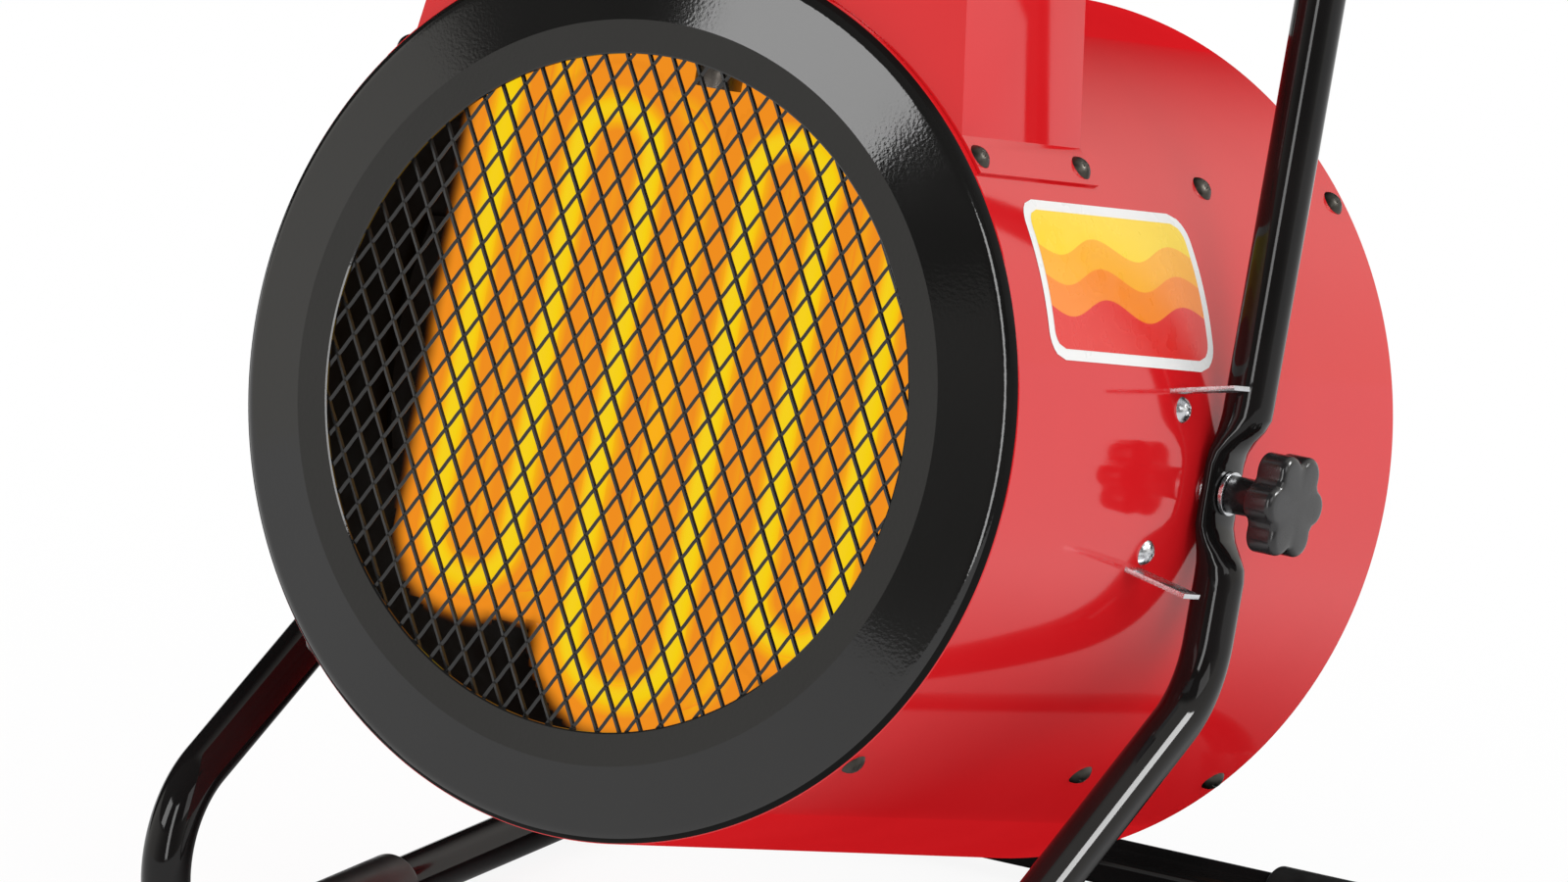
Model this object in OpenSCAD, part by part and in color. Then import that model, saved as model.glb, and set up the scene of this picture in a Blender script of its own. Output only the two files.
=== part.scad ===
// Portable fan heater for a garage or workshop. A rolled-steel drum with an expanded-metal front hangs
// between the uprights of a bent-tube stand, and two star knobs clamp it at the tilt that is wanted.
// Millimetres, +Z up, front towards -Y, standing on Z = 0 under the middle of its bounding box.

/* [Drum] */
// Outside diameter of the drum
drum_d = 281.6; // [272:0.2:300]
// Length of the drum's rolled sheet
drum_l = 242; // [236:1:290]
// Thickness of the drum's sheet
drum_t = 1; // [0.8:0.1:1.4]
// Nose-up tilt of the drum as it stands
drum_tilt = 15; // [8:0.5:18]
// Distance from the front ring's flat face back to the tilt axis
pivot_back = 134; // [126:1:140]
// Radial clearance between parts that nest inside each other
seat_gap = 0.3; // [0.2:0.05:0.4]

/* [Front ring] */
// Diameter of the opening in the front ring
ring_open_d = 212; // [190:1:218]
// Width of the flat band round the opening
ring_flat_w = 10.8; // [8:0.2:13]
// How far the ring's rim lies behind its flat band
ring_rise = 5; // [3:0.5:8]
// Radius of the ring's rolled rim
rim_r = 3.5; // [2:0.5:4]
// Distance from the flat band to the drum's front edge
ring_reach = 8.5; // [8:0.5:15]
// Length of the ring's skirt inside the drum
ring_lap = 14; // [12:0.5:20]
// Thickness of the ring's sheet
ring_t = 1.2; // [1:0.1:1.5]

/* [Expanded metal] */
// Width of one diamond of the grille
mesh_w = 8.9; // [8:0.1:14]
// Height of one diamond of the grille
mesh_h = 14.8; // [13:0.1:22]
// Turn of the diamonds as the disc was cut from its sheet
mesh_turn = -1.35; // [-4:0.05:4]
// Width of one strand of the grille
mesh_strand = 1; // [0.8:0.1:1.6]
// Thickness of the grille's sheet
mesh_t = 1; // [0.8:0.1:1.5]

/* [Heating elements] */
// Diameter of an element's steel sheath
element_d = 8; // [6.5:0.5:8.5]
// Distance of the inner pair of legs from the middle
leg_x1 = 19; // [17:0.5:21]
// Distance of the second pair of legs from the middle
leg_x2 = 46; // [43:0.5:48]
// Distance of the outer pair of legs from the middle
leg_x3 = 75; // [72:0.5:76]
// Height of the centres of the upper bends above the drum's axis
bend_top = 73; // [60:1:78]
// Depth of the centres of the outer lower bends below the drum's axis
bend_side = 53.7; // [40:0.1:60]
// Depth of the centre of the middle lower bend below the drum's axis
bend_mid = 76.6; // [60:0.1:80]
// Distance of the front element behind the ring's flat face
element_back = 30; // [28:1:32]
// Spacing between the front and the rear element
element_pitch = 30; // [26:1:32]
// Depth of the terminal tray's floor below the top of the drum's bore
tray_drop = 29.5; // [27:0.5:31]
// Sheet thickness of the terminal tray
tray_t = 1; // [0.8:0.1:1.5]

/* [Control box] */
// Width of the control box over the feet of its side walls
box_w = 203; // [196:1:216]
// Length of the control box along the drum
box_l = 74; // [70:1:84]
// Height of the control box's lid above the drum's axis
box_top = 178; // [170:1:182]
// Sheet thickness of the control box
box_t = 1; // [0.8:0.1:1.4]
// Inward lean of the control box's side walls
box_lean = 9; // [0:0.5:10]
// Radius of the bends along the lid
box_r = 6; // [3:0.5:10]
// Width of the flanges that are screwed to the drum
box_flange = 12; // [10:0.5:15]
// Distance of each dial from the middle of the lid
dial_x = 48; // [40:1:55]
// Diameter of a dial
dial_d = 38; // [30:1:42]
// Height of a dial
dial_h = 17; // [14:0.5:18]
// Diameter of a dial's spindle
spindle_d = 6; // [5:0.5:7]
// Diameter of the cable gland's bore
gland_bore = 9; // [7:0.5:11]

/* [Stand] */
// Outside diameter of the stand's tube
tube_d = 16; // [14:0.5:18]
// Wall thickness of the stand's tube
tube_wall = 1.5; // [1:0.1:2]
// Centreline radius of every bend in the tube
bend_r = 36; // [32:1:40]
// Backward lean of the uprights
stand_lean = 14.7; // [8:0.1:20]
// Slope of the legs below level
leg_slope = 25.7; // [18:0.1:30]
// Height of the tilt axis above the floor rails
pivot_rise = 184.7; // [182:0.1:215]
// Distance of the foremost tube ahead of the tilt axis
front_reach = 150.5; // [140:0.5:170]
// Distance of the rear cross tube behind the tilt axis
rear_reach = 152; // [140:1:180]
// Distance of the handle from the tilt axis, along the uprights
handle_rise = 240; // [236:1:270]
// Wall of the rubber foot sleeves
foot_wall = 3; // [2:0.5:4]
// Depth of the flat that is worn under each sleeve
foot_flat = 0.6; // [0.4:0.1:0.9]
// Length of the front foot sleeves
front_foot_l = 52; // [40:1:60]
// Distance of the front sleeves' rear ends ahead of the tilt axis
front_foot_y = 18; // [0:1:24]
// Length of the rear foot sleeves
rear_foot_l = 30; // [24:1:40]

/* [Tilt pivot] */
// Thickness of the spacer between drum and tube
spacer_t = 1; // [0.8:0.1:4]
// Diameter of the clamp studs
stud_d = 8; // [6:0.5:9]
// Distance of the pressed seat outside the middle of the tube
seat_out = -2; // [-3:0.5:3]
// Diameter of the star knobs
knob_d = 35; // [30:1:40]
// Thickness of a star knob's head
knob_t = 11; // [9:0.5:13]
// Length of a star knob's boss
knob_boss_l = 13; // [8:0.5:16]
// Angle of the upper stop tab above the tilt axis
tab_up = 12.2; // [11.5:0.1:14]
// Angle of the lower stop tab below the tilt axis
tab_low = 11.2; // [11:0.1:14]
// How far the stop tabs stand out of the drum
tab_out = 23; // [16:1:28]

/* [Fan] */
// Diameter of the impeller
fan_d = 244; // [200:1:252]
// Number of blades
blade_n = 6; // [4:1:7]
// Pitch of the blades
blade_pitch = 30; // [20:1:35]
// Diameter of the motor
motor_d = 84; // [76:1:92]
// Length of the motor
motor_l = 58; // [50:1:62]
// Diameter of the motor's shaft
shaft_d = 8; // [6:0.5:9]

/* [Hidden] */
$fn = 96;
paint_red = "#d8232a";
paint_black = "#1c1b1a";
zinc = "#c9ccd0";
steel = "#9a9c9e";
moulded = "#2a2a2a";

// Clearances: turning in a bore, lying flat on a neighbour, and a blind or pressed seat
run_gap = 0.05;
face_gap = 0.1;
slide_gap = 0.2;
tight_gap = 0.02;
over = 1;

// Drum frame: origin on the tilt axis, Y back along the drum, Z up across it
drum_r = drum_d / 2;
bore_r = drum_r - drum_t;
nest_r = bore_r - seat_gap;
face_y = -pivot_back;
drum_y0 = face_y + ring_reach;
drum_y1 = drum_y0 + drum_l;
ring_open_r = ring_open_d / 2;
flat_r = ring_open_r + ring_flat_w;
mesh_at = [3.4, -1.2];

// Stand: tube plane, foot height and the place of the tilt axis
tube_r = tube_d / 2;
tube_x = drum_r + spacer_t + tube_r;
foot_r = tube_r + foot_wall;
rail_z = foot_r - foot_flat;
pivot_z = rail_z + pivot_rise;
rim_back = pivot_back - ring_rise - rim_r;
rim_front = rim_back * cos(drum_tilt) + (nest_r - rim_r) * sin(drum_tilt) + rim_r;
flat_front = pivot_back * cos(drum_tilt) + flat_r * sin(drum_tilt);
front_most = max(front_reach + tube_r, rim_front, flat_front);
pivot_y = (front_most - rear_reach - foot_r) / 2;

// Legs: the hairpin lies on the rail, and the leg runs from it up to the upright
hairpin_y = -front_reach + bend_r;
hairpin_z = -pivot_rise + bend_r;
leg_foot_y = hairpin_y - bend_r * sin(leg_slope);
leg_foot_z = hairpin_z + bend_r * cos(leg_slope);
knee_turn = 90 - stand_lean - leg_slope;
knee_tangent = bend_r * tan(knee_turn / 2);
knee_cross = sin(stand_lean) * sin(leg_slope) - cos(stand_lean) * cos(leg_slope);
leg_reach = (leg_foot_z * sin(stand_lean) - leg_foot_y * cos(stand_lean)) / -knee_cross;
knee_drop = -(leg_foot_y + leg_reach * cos(leg_slope)) / sin(stand_lean);
leg_run = leg_reach - knee_tangent;
upright_top = handle_rise - bend_r;
upright_low = knee_drop - knee_tangent;

// Pressed seat in each upright
seat_half = 10;
seat_ramp = 15;
plug_half = seat_half + seat_ramp + 4;

// Screws
screw_r = 2;
screw_hole_r = screw_r + slide_gap;
screw_head_r = 4.2;
screw_head_h = 2.4;
screw_l = 7;
screw_up = 40.6;
screw_low = 44.4;
screw_angles = [screw_up, -screw_low, 180 - screw_up, 180 + screw_low];
screw_edge = 5;
rear_edge = 8;
bracket_y = 22;
ring_screw_y = drum_y0 + screw_edge;
rear_screw_y = drum_y1 - rear_edge;

// Control box
box_set = 2.4;
box_y0 = drum_y0 + box_set;
box_y1 = box_y0 + box_l;
box_seat_r = drum_r + face_gap;
wall_angle = acos(box_w / 2 / drum_r);
wall_in_angle = acos((box_w / 2 - box_t) / (box_seat_r + box_t));
box_foot_z = sqrt(pow(drum_r, 2) - pow(box_w / 2, 2));
box_bend_z = box_top - box_r;
box_bend_x = box_w / 2 - (box_bend_z - box_foot_z) * tan(box_lean) - box_r / cos(box_lean);
flange_angle = box_flange / drum_r * 180 / PI;
box_screw_angle = wall_angle - flange_angle / 2;
box_edges = [4.4, 6.4];
box_screw_ys = [box_y0 + box_edges[0], box_y1 - box_edges[1]];
dial_y = (box_y0 + box_y1) / 2;
dial_pad = 0.8;
switch_w = 32;
switch_h = 24;
stat_w = 40;
stat_l = 28;
stat_h = 20;
spindle_deep = 10;
gland_x = -62;
gland_wall = 3.5;
gland_z = (box_top + drum_r) / 2 - 2;

// Elements and their tray
element_r = element_d / 2;
element_y0 = face_y + element_back;
element_y1 = element_y0 + element_pitch;
tray_z = bore_r - tray_drop;
tray_margin = 12;
tray_y0 = element_y0 - tray_margin;
tray_y1 = element_y1 + tray_margin;
nut_flat = 14;
nut_h = 5;
terminal_r = 1.6;
terminal_l = 10;
cutout_r = 7.5;
cutout_drop = 12;
block_back = 12;
window_x = leg_x3 + nut_flat / 2 + 2;
window_lip = 5;
notch_x = sqrt(pow(nest_r, 2) - pow(tray_z, 2)) + 1;

// Stop brackets and pivot hardware
bracket_t = 1.5;
bracket_in = nest_r - bracket_t;
bracket_span = 16;
bracket_y0 = -44;
bracket_y1 = 14;
tab_w = 10;
tab_gap = 0.8;
tab_step = (screw_head_r + bracket_t / 2 + tab_gap) / drum_r * 180 / PI;
tabs = [[tab_up, -30.3], [-tab_low, -39.9]];
tab_screws = [[tab_up - tab_step, -22], [tab_step - tab_low, -30.2]];
stud_r = stud_d / 2;
stud_hole_r = stud_r + 2 * run_gap;
pivot_nut_flat = 13;
pivot_nut_h = 6.5;
pivot_nut_x = sqrt(pow(bracket_in, 2) - pow(pivot_nut_flat * 0.58, 2));
spacer_r = 7;
washer_r = 7;
washer_t = 1.5;
washer_x = tube_x + seat_out + face_gap;
boss_r = 6;
knob_x = washer_x + washer_t + knob_boss_l;
stud_inner_x = pivot_nut_x - pivot_nut_h - 3;
stud_outer_x = knob_x + knob_t / 2;

// Motor, fan and rear guard
arm_w = 22;
arm_t = 2;
arm_back = 11;
arm_y = bracket_y + arm_back;
arm_tab_l = 18;
motor_y = arm_y + arm_t;
motor_r = motor_d / 2;
bolt_circle_r = motor_r * 0.72;
bolt_r = 2;
hub_r = 20;
hub_y0 = -12;
hub_l = 24;
fan_r = fan_d / 2;
blade_t = 1.2;
blade_root = 15;
blade_tip = 31;
blade_camber_r = 70;
shaft_r = shaft_d / 2;
shaft_y0 = hub_y0 - 12;
shaft_deep = 30;
guard_flange = 22;
guard_ring_in = drum_r - guard_flange;
guard_wire_d = 3;
guard_bar_w = 8;
guard_bar_t = 1.5;
guard_bar_y = drum_y1 - 3 - guard_bar_t;
guard_step = 12;
guard_first = 24;

// Places the drum frame in the stand
module in_drum() {
    translate([0, pivot_y, pivot_z]) rotate([-drum_tilt, 0, 0]) children();
}

// Places things that are drawn round the tilt axis in the upright stand
module at_pivot() {
    translate([0, pivot_y, pivot_z]) children();
}

// Extrudes an outline drawn in X and Z from y0 back to y1
module along(y0, y1) {
    translate([0, y1, 0]) rotate([90, 0, 0]) linear_extrude(y1 - y0) children();
}

// Revolves an outline of radius and depth about the drum's axis
module round_axis() {
    rotate([-90, 0, 0]) rotate_extrude() children();
}

// Carries children out to a radius at a clock angle counted up from the right
module at_clock(angle, y, r) {
    rotate([0, -angle, 0]) translate([r, y, 0]) children();
}

module both_sides() {
    children();
    mirror([1, 0, 0]) children();
}

module hexagon(flat) {
    circle(r = flat / sqrt(3), $fn = 6);
}

module tube_section() {
    difference() {
        circle(d = tube_d);
        circle(d = tube_d - 2 * tube_wall);
    }
}

module tube_run(l) {
    linear_extrude(l) tube_section();
}

// Bend that leaves the origin along +Z and turns towards +Y
module tube_bend(angle) {
    translate([0, bend_r, 0]) rotate([90, 0, -90]) rotate_extrude(angle = angle)
        translate([bend_r, 0]) tube_section();
}

// Cross tube with a square bend at either end, drawn up +Z with its bends towards +Y
module bent_bar(l) {
    tube_run(l);
    translate([0, 0, l]) tube_bend(90);
    mirror([0, 0, 1]) tube_bend(90);
}

module handle_bar() {
    cross_l = 2 * (tube_x - bend_r);
    color(paint_black) at_pivot() rotate([-stand_lean, 0, 0]) translate([-cross_l / 2, 0, handle_rise])
        rotate([0, 90, 0]) rotate([0, 0, -90]) bent_bar(cross_l);
}

// Upright of the right-hand side, with the seat for the clamp knob pressed into its outer side
module upright() {
    length = upright_top + upright_low;
    inner_d = tube_d - 2 * tube_wall;
    at_pivot() translate([tube_x, 0, 0]) rotate([-stand_lean, 0, 0]) difference() {
        translate([0, 0, -upright_low]) cylinder(d = tube_d, h = length);
        translate([0, 0, plug_half]) cylinder(d = inner_d, h = upright_top);
        translate([0, 0, -upright_low - over]) cylinder(d = inner_d, h = upright_low + over - plug_half);
        rotate([90, 0, 0]) linear_extrude(2 * tube_d, center = true) polygon([
            [seat_out, -seat_half],
            [seat_out, seat_half],
            [tube_r + over, seat_half + seat_ramp],
            [tube_r + over, -seat_half - seat_ramp]
        ]);
        rotate([0, 90, 0]) cylinder(r = stud_hole_r, h = 2 * tube_d, center = true);
    }
}

// Leg of the right-hand side: knee bend, sloping run and the hairpin that turns back along the floor
module leg() {
    at_pivot() translate([tube_x, leg_foot_y, leg_foot_z]) rotate([leg_slope - 90, 0, 0]) {
        tube_run(leg_run);
        translate([0, 0, leg_run]) rotate([0, 0, 180]) tube_bend(knee_turn);
        mirror([0, 0, 1]) tube_bend(180 - leg_slope);
    }
}

module rail() {
    at_pivot() translate([tube_x, hairpin_y, -pivot_rise]) rotate([-90, 0, 0])
        tube_run(rear_reach - bend_r - hairpin_y);
}

module rear_bar() {
    cross_l = 2 * (tube_x - bend_r);
    color(paint_black) at_pivot() translate([-cross_l / 2, rear_reach, -pivot_rise])
        rotate([0, 90, 0]) rotate([0, 0, 180]) bent_bar(cross_l);
}

// Rubber sleeve along +Z, with rounded ends and a flat on the side towards -Y
module foot_sleeve(l) {
    chamfer = foot_wall / 2;
    difference() {
        rotate_extrude() polygon([
            [tube_r + run_gap, 0],
            [foot_r - chamfer, 0],
            [foot_r, chamfer],
            [foot_r, l - chamfer],
            [foot_r - chamfer, l],
            [tube_r + run_gap, l]
        ]);
        translate([-foot_r, -foot_r - over, -over]) cube([2 * foot_r, over + foot_flat, l + 2 * over]);
    }
}

module front_foot() {
    at_pivot() translate([tube_x, -front_foot_y, -pivot_rise]) rotate([90, 0, 0])
        foot_sleeve(front_foot_l);
}

module rear_foot() {
    at_pivot() translate([tube_x - bend_r, rear_reach, -pivot_rise]) rotate([0, -90, 0]) rotate([0, 0, -90])
        foot_sleeve(rear_foot_l);
}

// Holes that every screw, stud and tab needs through the drum's wall
module wall_holes() {
    for (angle = screw_angles, y = [bracket_y, rear_screw_y]) at_clock(angle, y, drum_r) screw_hole();
    both_sides() {
        for (place = tab_screws) at_clock(place[0], place[1], drum_r) screw_hole();
        for (tab = tabs) at_clock(tab[0], tab[1] - slide_gap, drum_r)
            translate([-over - tab_out, 0, -bracket_t / 2 - slide_gap])
                cube([2 * tab_out, tab_w + 2 * slide_gap, bracket_t + 2 * slide_gap]);
    }
    ring_screw_places() screw_hole();
    box_screw_places(drum_r) screw_hole();
    rotate([0, 90, 0]) cylinder(r = stud_hole_r + slide_gap, h = 2 * drum_d, center = true);
}

module screw_hole() {
    rotate([0, 90, 0]) cylinder(r = screw_hole_r, h = 4 * screw_l, center = true);
}

module ring_screw_places() {
    for (angle = [-screw_low, 180 + screw_low]) at_clock(angle, ring_screw_y, drum_r) children();
}

module box_screw_places(r) {
    for (y = box_screw_ys, angle = [box_screw_angle, 180 - box_screw_angle])
        at_clock(angle, y, r) children();
}

module drum() {
    color(paint_red) in_drum() difference() {
        along(drum_y0, drum_y1) difference() {
            circle(r = drum_r);
            circle(r = bore_r);
        }
        wall_holes();
        translate([-window_x, tray_y0 + window_lip, 0])
            cube([2 * window_x, tray_y1 - tray_y0 - 2 * window_lip, drum_d]);
    }
}

// Pressed front ring: flat band, coned shoulder, rolled rim and a skirt that plugs into the drum
module front_ring() {
    rim_x = nest_r - rim_r;
    rim_y = ring_rise + rim_r;
    arc = [for (a = [70:-10:0]) [cos(a), sin(a)]];
    color(paint_black) in_drum() difference() {
        translate([0, face_y, 0]) round_axis() polygon(concat(
            [[ring_open_r, 0], [flat_r, 0]],
            [for (p = arc) [rim_x + rim_r * p[0], rim_y - rim_r * p[1]]],
            [[nest_r, ring_reach + ring_lap], [nest_r - ring_t, ring_reach + ring_lap]],
            [for (i = [len(arc) - 1:-1:0])
                [rim_x + (rim_r - ring_t) * arc[i][0], rim_y - (rim_r - ring_t) * arc[i][1]]],
            [[flat_r - ring_t / 4, ring_t], [ring_open_r, ring_t]]
        ));
        ring_screw_places() screw_hole();
        box_screw_places(drum_r) screw_hole();
        translate([-notch_x, tray_y0 - seat_gap, 0]) cube([2 * notch_x, drum_l, drum_d]);
    }
}

// Expanded metal: one sheet slit and stretched into diamonds, spot-welded behind the ring's flat band
module front_grille() {
    disc_r = flat_r - ring_t / 4 - face_gap;
    bound = disc_r - mesh_strand;
    half_w = mesh_w / 2;
    half_h = mesh_h / 2;
    shrink = 1 - mesh_strand * norm([mesh_w, mesh_h]) / (mesh_w * mesh_h);
    columns = ceil(disc_r / mesh_w);
    rows = ceil(disc_r / mesh_h);
    cells = [for (i = [-columns:columns], j = [-rows:rows], shift = [0, 0.5])
        let (x = (i + shift) * mesh_w + mesh_at[0], z = (j + shift) * mesh_h + mesh_at[1])
            if (norm([abs(x) + half_w, z]) < bound && norm([x, abs(z) + half_h]) < bound) [x, z]];
    mesh_y = face_y + ring_t;
    color(paint_black) in_drum() along(mesh_y, mesh_y + mesh_t) rotate(mesh_turn) difference() {
        circle(r = disc_r);
        for (cell = cells) translate(cell) polygon([
            [half_w * shrink, 0],
            [0, half_h * shrink],
            [-half_w * shrink, 0],
            [0, -half_h * shrink]
        ]);
    }
}

// Half ring of element sheath between two legs, opening upwards, or downwards when flipped
module element_turn(x0, x1, z, flip) {
    translate([(x0 + x1) / 2, 0, z]) rotate([90, 0, 0]) rotate([0, 0, flip ? 0 : 180])
        rotate_extrude(angle = 180) translate([(x1 - x0) / 2, 0]) circle(r = element_r);
}

module element_leg(x, z0, z1) {
    translate([x, 0, z0]) cylinder(r = element_r, h = z1 - z0);
}

// Serpentine sheathed element with six legs, whose outer ends pass up through the terminal tray
module element(y) {
    end_z = tray_z + tray_t + nut_h + 2;
    color("#ffb21e") in_drum() translate([0, y, 0]) {
        both_sides() {
            element_leg(leg_x1, -bend_mid, bend_top);
            element_leg(leg_x2, -bend_side, bend_top);
            element_leg(leg_x3, -bend_side, end_z);
            translate([leg_x3, 0, end_z]) cylinder(r = terminal_r, h = terminal_l);
            element_turn(leg_x1, leg_x2, bend_top, true);
            element_turn(leg_x2, leg_x3, -bend_side, false);
        }
        element_turn(-leg_x1, leg_x1, -bend_mid, false);
    }
}

module element_ends() {
    for (x = [-leg_x3, leg_x3], y = [element_y0, element_y1]) translate([x, y, tray_z]) children();
}

// Floor of the control box: a folded tray that closes the window in the drum and carries the elements
module terminal_tray() {
    color(steel) in_drum() difference() {
        along(tray_y0, tray_y1) intersection() {
            circle(r = nest_r);
            translate([-drum_r, tray_z]) square([drum_d, drum_r]);
        }
        translate([-drum_r, tray_y0 + tray_t, tray_z + tray_t])
            cube([drum_d, tray_y1 - tray_y0 - 2 * tray_t, drum_r]);
        element_ends() cylinder(r = element_r + slide_gap, h = 4 * tray_t, center = true);
        translate([0, element_y0, tray_z])
            cylinder(r = cutout_r + slide_gap, h = 4 * tray_t, center = true);
    }
}

module element_nuts() {
    color(zinc) in_drum() element_ends() translate([0, 0, tray_t]) linear_extrude(nut_h) difference() {
        hexagon(nut_flat);
        circle(r = element_r + run_gap);
    }
}

// Bimetal cut-out that opens when the fan stops, with its can hung through the tray into the hot air
module thermal_cutout() {
    body_r = 8;
    body_h = 9;
    ear_l = 26;
    ear_w = 10;
    blade = [5, 0.8, 8];
    color(steel) in_drum() translate([0, element_y0, tray_z + tray_t]) {
        translate([0, 0, -tray_t - cutout_drop]) cylinder(r = cutout_r, h = cutout_drop + 2 * tray_t);
        translate([-ear_l / 2, -ear_w / 2, 0]) cube([ear_l, ear_w, tray_t]);
        cylinder(r = body_r, h = body_h);
        for (x = [-body_r / 2, body_r / 2])
            translate([x - blade[0] / 2, -blade[1] / 2, body_h]) cube(blade);
    }
}

// Three-way block for the supply's wires
module terminal_block() {
    block = [54, 16, 14];
    pole = 18;
    well_r = 3;
    block_y = (element_y0 + element_y1) / 2 + block_back;
    color("#e8e4da") in_drum() translate([0, block_y, tray_z + tray_t]) difference() {
        translate([-block[0] / 2, -block[1] / 2, 0]) cube(block);
        for (x = [-pole, 0, pole], y = [-block[1] / 4, block[1] / 4])
            translate([x, y, block[2] / 2]) cylinder(r = well_r, h = block[2]);
    }
}

// Section of the control box, drawn as one outline: leaning walls, round bends and a flat lid
module box_outline(inset) {
    r = box_r - inset;
    foot_x = box_bend_x + r / cos(box_lean) + box_bend_z * tan(box_lean);
    turn = (90 - box_lean) / 6;
    bend = [for (i = [0:6]) r * [cos(box_lean + i * turn), sin(box_lean + i * turn)]];
    polygon(concat(
        [[-foot_x, 0], [foot_x, 0]],
        [for (p = bend) [box_bend_x + p[0], box_bend_z + p[1]]],
        [for (i = [6:-1:0]) [-box_bend_x - bend[i][0], box_bend_z + bend[i][1]]]
    ));
}

// Folded cover over the wiring, cut to the drum's curve, with a screwed flange down either side
module control_box() {
    reach = 2 * drum_r;
    a0 = wall_angle - flange_angle;
    a1 = wall_in_angle;
    color(paint_red) in_drum() difference() {
        union() {
            difference() {
                along(box_y0, box_y1) box_outline(0);
                along(box_y0 + box_t, box_y1 - box_t) box_outline(box_t);
            }
            both_sides() along(box_y0, box_y1) intersection() {
                difference() {
                    circle(r = box_seat_r + box_t);
                    circle(r = box_seat_r - over);
                }
                polygon([[0, 0], reach * [cos(a0), sin(a0)], reach * [cos(a1), sin(a1)]]);
            }
        }
        along(box_y0 - over, box_y1 + over) circle(r = box_seat_r);
        box_screw_places(drum_r) screw_hole();
        for (x = [-dial_x, dial_x])
            translate([x, dial_y, box_top])
                cylinder(d = spindle_d + 2 * slide_gap, h = 4 * box_t, center = true);
        translate([gland_x, box_y1, gland_z]) rotate([90, 0, 0])
            cylinder(r = gland_bore / 2 + gland_wall + slide_gap, h = 4 * box_t, center = true);
    }
}

// Screwed gland in the control box's rear wall, whose membrane is pierced when a supply lead is fitted
module cable_gland() {
    thread_r = gland_bore / 2 + gland_wall;
    well = 3.5;
    flat = 2 * thread_r + 6;
    hex_h = 6;
    dome_h = 11;
    dome_r = thread_r + 1;
    lock_h = 4;
    color(moulded) in_drum() translate([gland_x, box_y1, gland_z]) rotate([-90, 0, 0]) difference() {
        union() {
            linear_extrude(hex_h) hexagon(flat);
            rotate_extrude() polygon([
                [0, -box_t - lock_h - over],
                [thread_r, -box_t - lock_h - over],
                [thread_r, hex_h],
                [dome_r, hex_h],
                [dome_r, hex_h + dome_h / 2],
                [dome_r - 2, hex_h + dome_h],
                [0, hex_h + dome_h]
            ]);
            translate([0, 0, -box_t - lock_h]) linear_extrude(lock_h) hexagon(flat);
        }
        translate([0, 0, hex_h + dome_h - well]) cylinder(d = gland_bore, h = dome_h);
    }
}

// Body of a control under the lid, with a blind bore that its spindle turns in
module control_body(x, w, l, h) {
    in_drum() translate([x, dial_y, box_top - box_t]) difference() {
        translate([-w / 2, -l / 2, -h]) cube([w, l, h]);
        cylinder(r = spindle_d / 2 + run_gap, h = 2 * spindle_deep, center = true);
    }
}

module selector_switch() {
    color(moulded) control_body(-dial_x, switch_w, switch_w, switch_h);
}

module thermostat() {
    color(steel) control_body(dial_x, stat_w, stat_l, stat_h);
}

module spindle(x) {
    top = dial_h - 4;
    deep = spindle_deep - face_gap;
    color(zinc) in_drum() translate([x, dial_y, box_top - box_t - deep])
        cylinder(d = spindle_d, h = deep + box_t + top);
}

// Moulded dial: a round skirt with a grip bar across it
module dial(x) {
    skirt_h = 4;
    bar_w = 10;
    bore_h = dial_h - 4 + tight_gap;
    bar_l = dial_d - 4;
    color(moulded) in_drum() translate([x, dial_y, box_top + dial_pad]) difference() {
        union() {
            rotate_extrude() polygon([
                [0, 0],
                [dial_d / 2, 0],
                [dial_d / 2, skirt_h - 1],
                [dial_d / 2 - 1, skirt_h],
                [0, skirt_h]
            ]);
            linear_extrude(dial_h - dial_pad) {
                square([bar_w, bar_l - bar_w], center = true);
                for (y = [-1, 1]) translate([0, y * (bar_l - bar_w) / 2]) circle(d = bar_w);
            }
        }
        cylinder(r = spindle_d / 2 + tight_gap, h = 2 * (bore_h - dial_pad), center = true);
    }
}

// Bracket inside the drum at the right-hand pivot, with two tabs that stop the tilt at the tube
module stop_bracket() {
    reach = 2 * drum_r;
    in_drum() difference() {
        union() {
            along(bracket_y0, bracket_y1) intersection() {
                difference() {
                    circle(r = nest_r);
                    circle(r = bracket_in);
                }
                polygon([[0, 0], reach * [cos(bracket_span), -sin(bracket_span)],
                    reach * [cos(bracket_span), sin(bracket_span)]]);
            }
            for (tab = tabs) at_clock(tab[0], tab[1], bracket_in)
                translate([bracket_t / 2, 0, -bracket_t / 2])
                    cube([drum_r + tab_out - bracket_in - bracket_t / 2, tab_w, bracket_t]);
        }
        rotate([0, 90, 0]) cylinder(r = stud_hole_r + slide_gap, h = 2 * drum_r);
        for (place = tab_screws) at_clock(place[0], place[1], bracket_in) screw_hole();
    }
}

module pivot_nuts() {
    color(zinc) in_drum() both_sides() translate([pivot_nut_x, 0, 0]) rotate([0, -90, 0])
        linear_extrude(pivot_nut_h) difference() {
            hexagon(pivot_nut_flat);
            circle(r = stud_r + run_gap);
        }
}

module pivot_spacers() {
    color(zinc) in_drum() both_sides() translate([drum_r + face_gap, 0, 0]) rotate([0, 90, 0])
        linear_extrude(spacer_t - 2 * face_gap) difference() {
            circle(r = spacer_r);
            circle(r = stud_hole_r);
        }
}

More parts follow.
